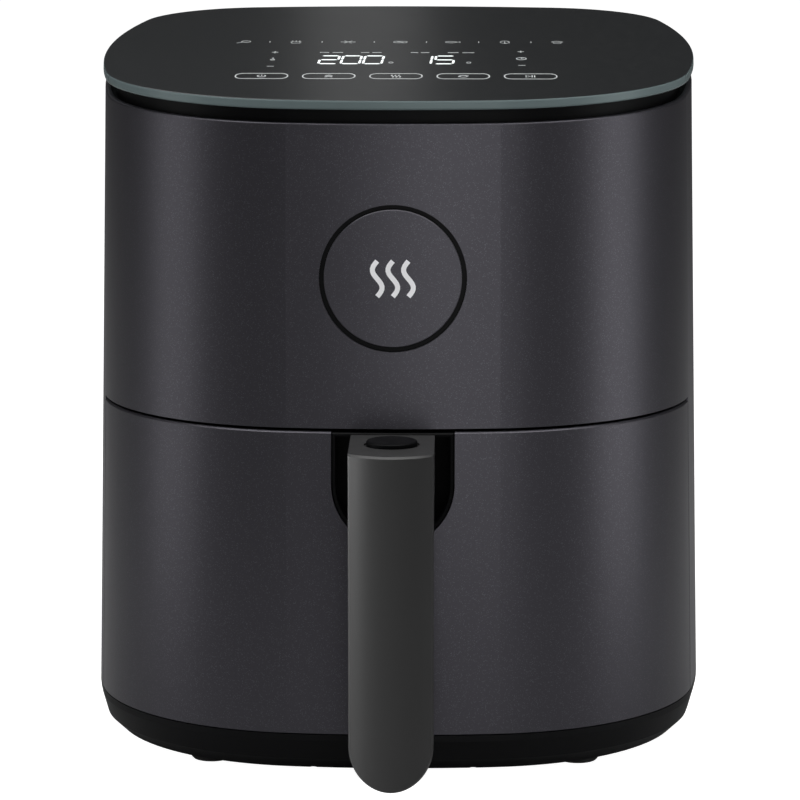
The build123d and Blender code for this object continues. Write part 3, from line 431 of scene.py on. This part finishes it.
def glass_material(finishes):
    """Touch glass printed dark on its back; clean and flat, its print slightly mottled."""
    material, tree, shader = new_material("Printed Touch Glass")
    tone = use(tree, "Tone Drift", {"Colour": rgba(finishes.glass), "Scale": 6.0, "Spread": 0.10})
    normal = add(tree, "ShaderNodeNewGeometry").outputs["Normal"]
    up = add(tree, "ShaderNodeSeparateXYZ", {0: normal}).outputs[2]
    rim = add(tree, "ShaderNodeMapRange", {"Value": up, "From Min": 0.93, "From Max": 0.55}).outputs[0]
    edged = add(
        tree, "ShaderNodeMix", {0: rim, 6: tone.outputs[0], 7: rgba(finishes.glass_edge)}, data_type="RGBA"
    )
    dusty = use(tree, "Settled Dust", {"Colour": edged.outputs[2], "Amount": 0.012})
    tree.links.new(dusty.outputs[0], shader.inputs["Base Color"])
    rough = use(tree, "Handling", {"Roughness": 0.26, "Spread": 0.02, "Scale": 11.0})
    tree.links.new(rough.outputs[0], shader.inputs["Roughness"])
    shader.inputs["IOR"].default_value = 1.30
    shader.inputs["Specular Tint"].default_value = (0.86, 1.0, 0.98, 1.0)
    return material


def lens_material():
    """Smoked lens over the lit digits."""
    material, tree, shader = new_material("Smoked Display Lens")
    tone = use(tree, "Tone Drift", {"Colour": (0.004, 0.004, 0.005, 1.0), "Scale": 30.0, "Spread": 0.2})
    tree.links.new(tone.outputs[0], shader.inputs["Base Color"])
    rough = use(tree, "Handling", {"Roughness": 0.08, "Spread": 0.02, "Scale": 40.0})
    tree.links.new(rough.outputs[0], shader.inputs["Roughness"])
    return material


def nonstick_material():
    """Dark grey non-stick coating with fine light specks."""
    material, tree, shader = new_material("Speckled Non-stick Coating")
    flake = use(
        tree,
        "Metal Flake",
        {
            "Colour": (0.020, 0.020, 0.021, 1.0),
            "Flake": (0.11, 0.11, 0.12, 1.0),
            "Scale": 900.0,
            "Share": 0.10,
        },
    )
    tone = use(tree, "Tone Drift", {"Colour": flake.outputs["Colour"], "Scale": 10.0, "Spread": 0.08})
    tree.links.new(tone.outputs[0], shader.inputs["Base Color"])
    rough = use(tree, "Handling", {"Roughness": 0.34, "Spread": 0.06, "Scale": 18.0})
    tree.links.new(rough.outputs[0], shader.inputs["Roughness"])
    grain = use(tree, "Moulded Grain", {"Scale": 420.0, "Depth": 1.0})
    bump(tree, shader, grain.outputs[0], 0.12, 0.0003)
    return material


def banded_material(name, light, dark, metallic, roughness, scale, wobble=0.2, strength=0.3):
    """Windings and sheet stacks: even bands with a groove between them."""
    material, tree, shader = new_material(name)
    bands = use(tree, "Even Bands", {"Scale": scale, "Wobble": wobble})
    mixed = add(
        tree, "ShaderNodeMix", {0: bands.outputs["Mask"], 6: rgba(dark), 7: rgba(light)}, data_type="RGBA"
    )
    tone = use(tree, "Tone Drift", {"Colour": mixed.outputs[2], "Scale": 40.0, "Spread": 0.12})
    tree.links.new(tone.outputs[0], shader.inputs["Base Color"])
    rough = use(tree, "Handling", {"Roughness": roughness, "Spread": 0.05, "Scale": 60.0})
    tree.links.new(rough.outputs[0], shader.inputs["Roughness"])
    shader.inputs["Metallic"].default_value = metallic
    bump(tree, shader, bands.outputs["Mask"], strength, 0.0002)
    return material


def board_material():
    """Green solder mask with copper traces showing faintly through it."""
    material, tree, shader = new_material("Circuit Board")
    bands = use(tree, "Even Bands", {"Scale": 90.0, "Wobble": 6.0})
    trace = maths(tree, "MAXIMUM", bands.outputs["Mask"], bands.outputs["Cross"])
    mask = add(tree, "ShaderNodeMapRange", {"Value": trace, "From Min": 0.86, "From Max": 0.93}).outputs[0]
    mixed = add(
        tree,
        "ShaderNodeMix",
        {0: mask, 6: (0.010, 0.075, 0.030, 1.0), 7: (0.030, 0.160, 0.060, 1.0)},
        data_type="RGBA",
    )
    tree.links.new(mixed.outputs[2], shader.inputs["Base Color"])
    rough = use(tree, "Handling", {"Roughness": 0.32, "Spread": 0.08, "Scale": 30.0})
    tree.links.new(rough.outputs[0], shader.inputs["Roughness"])
    bump(tree, shader, mask, 0.25, 0.0001)
    return material


def ink_material(name, ink, lit_and_painted_glow):
    """Silk-screened print or a lit segment, slightly uneven. The emission is the lit segments' own light; on
    the printed marks it is a painted glow.
    """
    material, tree, shader = new_material(name)
    tone = use(tree, "Tone Drift", {"Colour": rgba(ink), "Scale": 90.0, "Spread": 0.10})
    tree.links.new(tone.outputs[0], shader.inputs["Base Color"])
    tree.links.new(tone.outputs[0], shader.inputs["Emission Color"])
    # emission strength: the display's real light for lit segments, a painted glow for print
    shader.inputs["Emission Strength"].default_value = lit_and_painted_glow
    rough = use(tree, "Handling", {"Roughness": 0.45, "Spread": 0.05, "Scale": 60.0})
    tree.links.new(rough.outputs[0], shader.inputs["Roughness"])
    return material


# ------------------------------------------------------------------------- mesh helpers
def surface_of(node):
    """Ray target made from a CAD part's mesh."""
    mesh = frame["nodes"][node].data
    points = [vertex.co.copy() for vertex in mesh.vertices]
    faces = [tuple(face.vertices) for face in mesh.polygons]
    return BVHTree.FromPolygons(points, faces)


def onto_glass():
    """Place function for the panel: x and y about the body's centre line, height above the glass."""
    target = surface_of("glass_panel")
    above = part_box("glass_panel")[1].z + 0.05

    def place(x, y, height):
        hit, normal, _, _ = target.ray_cast(Vector((x, y + BODY_CENTRE_Y, above)), Vector((0, 0, -1)))
        if hit is None:
            raise RuntimeError("a panel graphic falls outside the glass")
        return hit + normal * height

    return place


def onto_badge():
    """Place function for the badge: x and z about the middle of its disc, height above its face."""
    target = surface_of("badge_disc")
    low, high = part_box("badge_disc")
    middle = (low.z + high.z) / 2

    def place(x, z, height):
        hit, normal, _, _ = target.ray_cast(Vector((x, low.y - 0.05, middle + z)), Vector((0, 1, 0)))
        if hit is None:
            raise RuntimeError("the badge mark falls outside the disc")
        return hit + normal * height

    return place


def add_band(mesh, left, right, place, height, closed):
    """Flat strip between two rows of points, raised by height, with closed sides."""
    rings = []
    for a, b in zip(left, right):
        corners = [place(*a, -height), place(*a, height), place(*b, height), place(*b, -height)]
        rings.append([mesh.verts.new(corner) for corner in corners])
    steps = len(rings) if closed else len(rings) - 1
    for index in range(steps):
        here = rings[index]
        there = rings[(index + 1) % len(rings)]
        for side in range(4):
            after = (side + 1) % 4
            mesh.faces.new((here[side], there[side], there[after], here[after]))
    if not closed:
        mesh.faces.new(rings[0])
        mesh.faces.new(list(reversed(rings[-1])))


def add_stroke(mesh, points, pen, place, height, closed=False):
    """Line of one pen width; pen is its width across x and across y."""
    count = len(points)
    left = []
    right = []
    for index, (x, y) in enumerate(points):
        before = points[(index - 1) % count] if closed or index else points[0]
        after = points[(index + 1) % count] if closed or index < count - 1 else points[-1]
        dx = after[0] - before[0]
        dy = after[1] - before[1]
        span = hypot(dx, dy)
        across = (-dy / span * pen[0] / 2, dx / span * pen[1] / 2)
        left.append((x + across[0], y + across[1]))
        right.append((x - across[0], y - across[1]))
    add_band(mesh, left, right, place, height, closed)


def piece_from(mesh, name, material, body):
    """Turns a finished bmesh into a piece that rides on a body."""
    bmesh.ops.recalc_face_normals(mesh, faces=mesh.faces)
    data = bpy.data.meshes.new(name)
    mesh.to_mesh(data)
    mesh.free()
    data.materials.append(material)
    piece = bpy.data.objects.new(name, data)
    bpy.context.scene.collection.objects.link(piece)
    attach(piece, body)
    return piece


def arc(x, y, radius_x, radius_y, start, end, steps=12):
    """Points on an ellipse between two angles in degrees."""
    points = []
    for step in range(steps + 1):
        angle = radians(start + (end - start) * step / steps)
        points.append((x + radius_x * cos(angle), y + radius_y * sin(angle)))
    return points


def rounded_loop(x, y, width, depth, corner_x, corner_y, steps=7):
    """Rounded rectangle about a point."""
    points = []
    for quarter, (side, end) in enumerate(((1, 1), (-1, 1), (-1, -1), (1, -1))):
        centre_x = x + side * (width / 2 - corner_x)
        centre_y = y + end * (depth / 2 - corner_y)
        start = 90 * quarter
        points += arc(centre_x, centre_y, corner_x, corner_y, start, start + 90, steps)
    return points


# Line symbols in a box from -1 to 1 each way: lists of (closed, points).
def power_symbol():
    return [(False, arc(0, 0, 0.8, 0.8, 125, 415, 20)), (False, [(0, 0.2), (0, 1.0)])]


def chevrons_symbol():
    return [(False, [(-0.7, low), (0, low + 0.6), (0.7, low)]) for low in (-0.9, -0.3, 0.3)]


def steam_symbol():
    lines = []
    for middle in (-0.7, 0.0, 0.7):
        lines.append((False, [(middle + 0.22 * sin(2 * pi * t / 14), -1 + 2 * t / 14) for t in range(15)]))
    return lines


def turn_symbol():
    return [
        (False, arc(0, 0, 0.85, 0.7, 20, 160)),
        (False, arc(0, 0, 0.85, 0.7, 200, 340)),
        (False, [(0.55, 0.2), (0.85, 0.05), (0.95, 0.5)]),
        (False, [(-0.55, -0.2), (-0.85, -0.05), (-0.95, -0.5)]),
    ]


def start_symbol():
    return [
        (True, [(-0.9, -0.8), (0.0, 0.0), (-0.9, 0.8)]),
        (False, [(0.3, -0.8), (0.3, 0.8)]),
        (False, [(0.8, -0.8), (0.8, 0.8)]),
    ]


def crossed_symbol():
    lines = []
    for angle in (0, 60, 120):
        reach = (cos(radians(angle)), sin(radians(angle)))
        lines.append((False, [(-reach[0], -reach[1]), reach]))
    return lines


def sticks_symbol():
    return [
        (True, [(-0.7, 0.1), (-0.5, -1.0), (0.5, -1.0), (0.7, 0.1)]),
        (False, [(-0.45, 0.2), (-0.5, 0.9)]),
        (False, [(0.0, 0.2), (0.0, 1.0)]),
        (False, [(0.45, 0.2), (0.5, 0.9)]),
    ]


def fish_symbol():
    return [
        (True, arc(-0.2, 0, 0.75, 0.5, 0, 345, 23)),
        (True, [(0.5, 0.0), (1.0, 0.5), (1.0, -0.5)]),
    ]


def leaf_symbol():
    return [(True, arc(0, 0, 0.6, 0.95, 0, 345, 23)), (False, [(0, -1.0), (0, 0.6)])]


def bone_symbol():
    return [(True, arc(0.3, 0.2, 0.6, 0.6, 0, 345, 23)), (False, [(-0.15, -0.25), (-0.9, -0.9)])]


def slab_symbol():
    return [(True, rounded_loop(0, 0, 1.8, 1.2, 0.5, 0.5)), (False, [(-0.4, 0.25), (0.4, -0.25)])]


def cake_symbol():
    return [
        (True, [(-0.6, -0.1), (-0.45, -0.9), (0.45, -0.9), (0.6, -0.1)]),
        (False, arc(0, 0.0, 0.75, 0.8, 0, 180)),
    ]


def ring_symbol():
    return [(True, arc(0, 0, 0.8, 0.8, 0, 345, 23))]


def plus_symbol():
    return [(False, [(-0.9, 0), (0.9, 0)]), (False, [(0, -0.9), (0, 0.9)])]


def minus_symbol():
    return [(False, [(-0.9, 0), (0.9, 0)])]


def clock_symbol():
    return [(True, arc(0, 0, 0.85, 0.85, 0, 345, 23)), (False, [(0, 0.55), (0, 0), (0.4, -0.2)])]


def gauge_symbol():
    return [(True, arc(0, -0.6, 0.35, 0.35, 0, 330, 11)), (False, [(0, -0.3), (0, 1.0)])]


def add_symbol(mesh, symbol, x, y, half_width, half_depth, pen, place, height):
    for closed, points in symbol:
        placed = [(x + half_width * a, y + half_depth * b) for a, b in points]
        add_stroke(mesh, placed, pen, place, height, closed)


# ---------------------------------------------------------------------------- operators
class FRYER_OT_paint_casing(bpy.types.Operator):
    """Gives the casing, drawer front and badge disc their satin metallic paint"""

    bl_idname = "fryer.paint_casing"
    bl_label = "Paint the Casing"

    def execute(self, context):
        dress("shell_paint", paint_material(context.scene.fryer_finishes))
        return {"FINISHED"}


class FRYER_OT_finish_mouldings(bpy.types.Operator):
    """Gives the plastic and rubber mouldings their grain and colour"""

    bl_idname = "fryer.finish_mouldings"
    bl_label = "Finish the Mouldings"

    def execute(self, context):
        finishes = context.scene.fryer_finishes
        dress("black_plastic", moulding("Black Moulding", finishes.black, 0.46, dust=0.01, gloss=0.08))
        dress("handle_plastic", moulding("Handle Moulding", finishes.handle, 0.46, 900.0, 0.08, 0.03, 0.02))
        dress("fan_plastic", moulding("Cooling Fan Moulding", (0.05, 0.05, 0.052), 0.5))
        dress("component_plastic", moulding("Component Housing", (0.09, 0.09, 0.095), 0.55, 500.0))
        dress("rubber", moulding("Foot Rubber", (0.018, 0.018, 0.018), 0.8, 400.0, 0.3, 0.06, 0.08, 0.15))
        dress("silicone", moulding("Bumper Silicone", (0.03, 0.03, 0.032), 0.6, 500.0, 0.2, 0.05, 0.04, 0.2))
        return {"FINISHED"}


class FRYER_OT_finish_glass(bpy.types.Operator):
    """Gives the touch glass and the display lens their finish"""

    bl_idname = "fryer.finish_glass"
    bl_label = "Finish the Glass"

    def execute(self, context):
        dress("panel_glass", glass_material(context.scene.fryer_finishes))
        dress("display_black", lens_material())
        return {"FINISHED"}


class FRYER_OT_finish_metals(bpy.types.Operator):
    """Gives steel, aluminium, copper and bronze parts their finish"""

    bl_idname = "fryer.finish_metals"
    bl_label = "Finish the Metals"

    def execute(self, context):
        dress("zinc_steel", metal("Zinc-plated Sheet", (0.56, 0.57, 0.58), 0.38, (1.0, 0.05, 1.0), 380.0))
        dress("fastener_steel", metal("Fastener Steel", (0.42, 0.42, 0.43), 0.30, (1.0, 1.0, 0.2), 700.0))
        aluminium = metal("Bright Aluminium", (0.78, 0.78, 0.79), 0.24, (1.0, 0.04, 1.0), 300.0)
        dress("bright_aluminium", aluminium)
        sheath = metal("Heater Sheath", (0.17, 0.155, 0.14), 0.42, (1.0, 1.0, 1.0), 240.0, 0.15, 0.1)
        dress("heater_sheath", sheath)
        dress("bronze", metal("Sintered Bronze", (0.50, 0.31, 0.15), 0.40, (1.0, 1.0, 1.0), 900.0, 0.2))
        copper = banded_material("Copper Winding", (0.62, 0.25, 0.10), (0.16, 0.05, 0.02), 0.9, 0.35, 420.0)
        dress("copper", copper)
        steel, gap = (0.36, 0.36, 0.38), (0.08, 0.08, 0.09)
        stack = banded_material("Laminated Steel", steel, gap, 0.9, 0.42, 320.0, 0.0)
        dress("laminated_steel", stack)
        return {"FINISHED"}


class FRYER_OT_finish_pan(bpy.types.Operator):
    """Gives the pan and the crisper plate their non-stick coating"""

    bl_idname = "fryer.finish_pan"
    bl_label = "Coat the Pan"

    def execute(self, context):
        dress("nonstick", nonstick_material())
        return {"FINISHED"}


class FRYER_OT_finish_electrics(bpy.types.Operator):
    """Gives boards, ceramic and insulation their finish"""

    bl_idname = "fryer.finish_electrics"
    bl_label = "Finish the Electrical Parts"

    def execute(self, context):
        dress("circuit_board", board_material())
        dress("ceramic", moulding("Glazed Ceramic", (0.62, 0.60, 0.56), 0.25, 300.0, 0.05))
        dress("insulation", moulding("Fibre Insulation", (0.55, 0.53, 0.48), 0.9, 260.0, 0.5, 0.05, 0.0, 0.3))
        return {"FINISHED"}


class FRYER_OT_draw_keys(bpy.types.Operator):
    """Prints the five outlined touch keys and the symbols inside them"""

    bl_idname = "fryer.draw_keys"
    bl_label = "Print the Keys"

    def execute(self, context):
        panel = context.scene.fryer_panel
        place = onto_glass()
        # the key print's 0.12 emission is a painted glow; the print itself is no lamp
        ink = ink_material("Key Print", context.scene.fryer_finishes.print_ink, 0.12)
        outlines = bmesh.new()
        symbols = bmesh.new()
        height = panel.print_height
        shapes = (power_symbol(), chevrons_symbol(), steam_symbol(), turn_symbol(), start_symbol())
        for step, shape in zip(range(-2, 3), shapes):
            x = step * panel.key_pitch
            y = -panel.key_row
            size = (panel.key_width, panel.key_depth, panel.key_radius / 2, panel.key_radius)
            loop = rounded_loop(x, y, *size)
            add_stroke(outlines, loop, (0.55 * MM, 1.1 * MM), place, height, True)
            add_symbol(symbols, shape, x, y, 2.2 * MM, 3.6 * MM, (0.5 * MM, 0.9 * MM), place, height)
        piece_from(outlines, "key_outlines", ink, "housing")
        piece_from(symbols, "key_symbols", ink, "housing")
        return {"FINISHED"}


SEGMENTS = {
    "0": "abcdef",
    "1": "bc",
    "2": "abged",
    "5": "acdfg",
}


def add_digit(mesh, digit, x, y, width, depth, place, height):
    """Seven-segment digit with its lower left corner at a point."""
    wide = width * 0.13
    deep = depth * 0.105
    ends = {
        "a": ((0, 1.0), (1, 1.0)),
        "g": ((0, 0.5), (1, 0.5)),
        "d": ((0, 0.0), (1, 0.0)),
        "f": ((0, 0.5), (0, 1.0)),
        "b": ((1, 0.5), (1, 1.0)),
        "e": ((0, 0.0), (0, 0.5)),
        "c": ((1, 0.0), (1, 0.5)),
    }
    for name in SEGMENTS[digit]:
        (x0, y0), (x1, y1) = ends[name]
        level = y0 == y1
        gap = 0.06
        if level:
            points = [(x0 + gap, y0), (x0 + 0.16, y0), (x1 - 0.16, y0), (x1 - gap, y0)]
        else:
            points = [(x0, y0 + gap / 2), (x0, y0 + 0.08), (x0, y1 - 0.08), (x0, y1 - gap / 2)]
        row = [(x + width * a + 0.08 * width * b, y + depth * b) for a, b in points]
        tips = (0.25, 1.0, 1.0, 0.25)
        if level:
            left = [(a, b + deep / 2 * tip) for (a, b), tip in zip(row, tips)]
            right = [(a, b - deep / 2 * tip) for (a, b), tip in zip(row, tips)]
        else:
            left = [(a - wide / 2 * tip, b) for (a, b), tip in zip(row, tips)]
            right = [(a + wide / 2 * tip, b) for (a, b), tip in zip(row, tips)]
        add_band(mesh, left, right, place, height, False)


class FRYER_OT_draw_digits(bpy.types.Operator):
    """Lights a temperature and a time in seven-segment digits"""

    bl_idname = "fryer.draw_digits"
    bl_label = "Light the Digits"

    def execute(self, context):
        panel = context.scene.fryer_panel
        place = onto_glass()
        digits = bmesh.new()
        low = -48.0 * MM
        size = (panel.digit_width, panel.digit_depth)
        pitch = panel.digit_width + 1.7 * MM
        for text, start in (("200", -35.2 * MM), ("15", 6.4 * MM)):
            for index, digit in enumerate(text):
                x = start + index * pitch
                add_digit(digits, digit, x, low, *size, place, panel.print_height)
        lit = ink_material("Lit Segments", context.scene.fryer_finishes.digits, 0.55)
        piece_from(digits, "lit_digits", lit, "housing")
        return {"FINISHED"}


class FRYER_OT_draw_marks(bpy.types.Operator):
    """Prints the status marks, the preset symbols and the two plus and minus columns"""

    bl_idname = "fryer.draw_marks"
    bl_label = "Print the Marks"

    def execute(self, context):
        panel = context.scene.fryer_panel
        place = onto_glass()
        height = panel.print_height
        pen = (0.45 * MM, 1.0 * MM)
        marks = bmesh.new()
        row = -13.4 * MM
        for x, half in ((-30.5, 5.2), (-12.5, 4.6), (9.5, 4.2), (28.0, 6.0)):
            for start, end in ((-1.0, -0.2), (0.1, 1.0)):
                points = [((x + half * start) * MM, row), ((x + half * end) * MM, row)]
                add_stroke(marks, points, (0.5 * MM, 1.5 * MM), place, height)
        for x in (-3.0, 31.5):
            add_symbol(marks, ring_symbol(), x * MM, -44.5 * MM, 1.1 * MM, 2.4 * MM, pen, place, height)
        # the status print's 0.08 emission is a painted glow; the print itself is no lamp
        ink = ink_material("Status Print", (0.42, 0.44, 0.44), 0.08)
        piece_from(marks, "status_marks", ink, "housing")
        presets = bmesh.new()
        shapes = (
            bone_symbol(),
            sticks_symbol(),
            crossed_symbol(),
            slab_symbol(),
            fish_symbol(),
            leaf_symbol(),
            cake_symbol(),
        )
        for index, shape in enumerate(shapes):
            x = (-72 + 24 * index) * MM
            add_symbol(presets, shape, x, 20.3 * MM, 3.4 * MM, 4.2 * MM, pen, place, height)
            if index:
                middle = x - 12 * MM
                add_stroke(presets, [(middle, 18.3 * MM), (middle, 22.3 * MM)], pen, place, height)
        # the preset print's 0.06 emission is a painted glow; the print itself is no lamp
        ink = ink_material("Preset Print", (0.40, 0.42, 0.42), 0.06)
        piece_from(presets, "preset_symbols", ink, "housing")
        columns = bmesh.new()
        for x, plus, label, minus, shape in (
            (-56.0, -12.9, -33.9, -56.2, gauge_symbol()),
            (55.0, -10.1, -32.0, -52.5, clock_symbol()),
        ):
            add_symbol(columns, plus_symbol(), x * MM, plus * MM, 1.6 * MM, 3.2 * MM, pen, place, height)
            add_symbol(columns, shape, x * MM, label * MM, 2.6 * MM, 4.0 * MM, pen, place, height)
            add_symbol(columns, minus_symbol(), x * MM, minus * MM, 1.7 * MM, 3.2 * MM, pen, place, height)
        # the adjust print's 0.12 emission is a painted glow; the print itself is no lamp
        ink = ink_material("Adjust Print", (0.50, 0.52, 0.52), 0.12)
        piece_from(columns, "adjust_symbols", ink, "housing")
        return {"FINISHED"}


class FRYER_OT_draw_badge_mark(bpy.types.Operator):
    """Raises three wavy heat lines in the middle of the round badge"""

    bl_idname = "fryer.draw_badge_mark"
    bl_label = "Raise the Badge Mark"

    def execute(self, context):
        panel = context.scene.fryer_panel
        place = onto_badge()
        mark = bmesh.new()
        half = panel.mark_height / 2
        add_symbol(mark, steam_symbol(), 0, 0, half * 1.25, half, (2.1 * MM, 2.1 * MM), place, 0.00015)
        # the badge mark's 0.05 emission is a painted glow; the badge has no lamp
        ink = ink_material("Badge Print", context.scene.fryer_finishes.badge_ink, 0.05)
        piece_from(mark, "badge_mark", ink, "housing")
        return {"FINISHED"}


def softbox(name, location, target, width, height, power):
    """Rectangular area light aimed at a point."""
    data = bpy.data.lights.new(name, "AREA")
    data.shape = "RECTANGLE"
    data.size = width
    data.size_y = height
    data.energy = power
    lamp = bpy.data.objects.new(name, data)
    lamp.location = location
    lamp.rotation_euler = (Vector(target) - Vector(location)).to_track_quat("-Z", "Y").to_euler()
    lamp.visible_camera = False
    bpy.context.scene.collection.objects.link(lamp)
    return lamp


def link(lamp, names, state):
    """Lets a lamp reach only some of the CAD parts, or all but those."""
    chosen = bpy.data.collections.new(lamp.name + "_parts")
    for name in names:
        chosen.objects.link(frame["nodes"][name])
    for item in chosen.collection_objects:
        item.light_linking.link_state = state
    lamp.light_linking.receiver_collection = chosen


def around(azimuth, distance, height):
    """Place at an azimuth from the front of the body; positive is to the right."""
    angle = radians(azimuth)
    return (distance * sin(angle), BODY_CENTRE_Y - distance * cos(angle), height)


def make_world(stage):
    """White surround for the camera; the object sees it dimmer, and dimmest from behind."""
    world = bpy.data.worlds.new("Studio Surround")
    world.use_nodes = True
    tree = world.node_tree
    tree.nodes.clear()
    seen = add(tree, "ShaderNodeBackground", {"Color": (1, 1, 1, 1), "Strength": stage.backdrop})
    heading = add(tree, "ShaderNodeSeparateXYZ", {0: add(tree, "ShaderNodeTexCoord").outputs["Generated"]})
    falloff = add(
        tree,
        "ShaderNodeMapRange",
        {
            "Value": heading.outputs[1],
            "From Min": -0.3,
            "From Max": 0.5,
            "To Min": stage.surround,
            "To Max": stage.surround * 0.25,
        },
    )
    felt = add(tree, "ShaderNodeBackground", {"Color": (1, 1, 1, 1), "Strength": falloff.outputs[0]})
    path = add(tree, "ShaderNodeLightPath")
    mix = add(tree, "ShaderNodeMixShader", {0: path.outputs["Is Camera Ray"]})
    tree.links.new(felt.outputs[0], mix.inputs[1])
    tree.links.new(seen.outputs[0], mix.inputs[2])
    end = add(tree, "ShaderNodeOutputWorld")
    tree.links.new(mix.outputs[0], end.inputs[0])
    bpy.context.scene.world = world


def make_floor(stage):
    """Plain pale floor with a very fine paper grain."""
    mesh = bmesh.new()
    bmesh.ops.create_grid(mesh, x_segments=8, y_segments=8, size=stage.floor_size / 2)
    data = bpy.data.meshes.new("studio_floor")
    mesh.to_mesh(data)
    mesh.free()
    material, tree, shader = new_material("Pale Floor")
    tone = use(tree, "Tone Drift", {"Colour": (0.45, 0.45, 0.45, 1.0), "Scale": 3.0, "Spread": 0.01})
    tree.links.new(tone.outputs[0], shader.inputs["Base Color"])
    shader.inputs["Emission Color"].default_value = (1.0, 1.0, 1.0, 1.0)
    seen = add(tree, "ShaderNodeLightPath").outputs["Is Camera Ray"]
    tree.links.new(seen, shader.inputs["Emission Strength"])
    shader.inputs["Roughness"].default_value = 0.9
    shader.inputs["Specular IOR Level"].default_value = 0.1
    data.materials.append(material)
    floor = bpy.data.objects.new("studio_floor", data)
    bpy.context.scene.collection.objects.link(floor)


class FRYER_OT_set_stage(bpy.types.Operator):
    """Sets the pale floor, the soft studio lights and the camera"""

    bl_idname = "fryer.set_stage"
    bl_label = "Set the Stage"

    def execute(self, context):
        stage = context.scene.fryer_stage
        make_world(stage)
        make_floor(stage)
        grip = ("handle_shell", "handle_cup", "release_button")
        softbox("overhead_softbox", (0.0, -0.40, 1.5), (0.0, -0.13, 0.15), 2.4, 0.6, stage.overhead)
        softbox("left_strip", around(-70, 0.55, 0.15), LIGHT_AIM, 0.24, 2.0, stage.left_strip)
        right = softbox("right_strip", around(70, 0.55, 0.15), LIGHT_AIM, 0.24, 2.0, stage.right_strip)
        front = softbox("front_strip", around(8, 0.75, 0.15), LIGHT_AIM, 0.26, 1.6, stage.front_strip)
        link(right, grip, "EXCLUDE")
        link(front, grip, "EXCLUDE")
        key = softbox("grip_key", around(-60, 0.9, 0.20), LIGHT_AIM, 0.4, 0.8, stage.grip_key)
        rim = softbox("grip_rim", around(-118, 0.9, 0.20), LIGHT_AIM, 0.2, 0.8, stage.grip_rim)
        link(key, grip[:1], "INCLUDE")
        link(rim, grip[:1], "INCLUDE")
        softbox("rear_fill", (-0.6, 1.3, 1.9), LIGHT_AIM, 1.2, 0.8, stage.rear_fill)
        softbox("rear_glow", around(182, 2.2, 0.85), (0.0, BODY_CENTRE_Y, 0.30), 0.12, 0.5, stage.rear_glow)
        data = bpy.data.cameras.new("front_camera")
        data.lens = stage.focal_length
        data.sensor_width = SENSOR_WIDTH
        data.clip_start = 0.05
        data.clip_end = 60.0
        camera = bpy.data.objects.new("front_camera", data)
        camera.location = around(CAMERA_AZIMUTH, CAMERA_DISTANCE, CAMERA_HEIGHT)
        aim = Vector(CAMERA_AIM)
        camera.rotation_euler = (aim - camera.location).to_track_quat("-Z", "Y").to_euler()
        context.scene.collection.objects.link(camera)
        context.scene.camera = camera
        context.scene.view_settings.view_transform = "Standard"
        return {"FINISHED"}


OPERATORS = (
    FRYER_OT_paint_casing,
    FRYER_OT_finish_mouldings,
    FRYER_OT_finish_glass,
    FRYER_OT_finish_metals,
    FRYER_OT_finish_pan,
    FRYER_OT_finish_electrics,
    FRYER_OT_draw_keys,
    FRYER_OT_draw_digits,
    FRYER_OT_draw_marks,
    FRYER_OT_draw_badge_mark,
    FRYER_OT_set_stage,
)


class FRYER_PT_sidebar(bpy.types.Panel):
    """Lists the sizes, the colours and the steps of the air fryer"""

    bl_idname = "FRYER_PT_sidebar"
    bl_label = "Air Fryer"
    bl_space_type = "VIEW_3D"
    bl_region_type = "UI"
    bl_category = "Air Fryer"

    def draw(self, context):
        layout = self.layout
        for owner in (context.scene.fryer_finishes, context.scene.fryer_panel, context.scene.fryer_stage):
            column = layout.column(align=True)
            for name in owner.__annotations__:
                column.prop(owner, name)
        for operator in OPERATORS:
            layout.operator(operator.bl_idname)


GROUP_CLASSES = (FryerFinishes, FryerPanel, FryerStage)


def register():
    for item in GROUP_CLASSES + OPERATORS + (FRYER_PT_sidebar,):
        bpy.utils.register_class(item)
    bpy.types.Scene.fryer_finishes = bpy.props.PointerProperty(type=FryerFinishes)
    bpy.types.Scene.fryer_panel = bpy.props.PointerProperty(type=FryerPanel)
    bpy.types.Scene.fryer_stage = bpy.props.PointerProperty(type=FryerStage)


def unregister():
    del bpy.types.Scene.fryer_stage
    del bpy.types.Scene.fryer_panel
    del bpy.types.Scene.fryer_finishes
    for item in reversed(GROUP_CLASSES + OPERATORS + (FRYER_PT_sidebar,)):
        bpy.utils.unregister_class(item)


def main():
    register()
    make_groups()
    for operator in OPERATORS:
        family, name = operator.bl_idname.split(".")
        getattr(getattr(bpy.ops, family), name)()


if __name__ == "__main__":
    main()
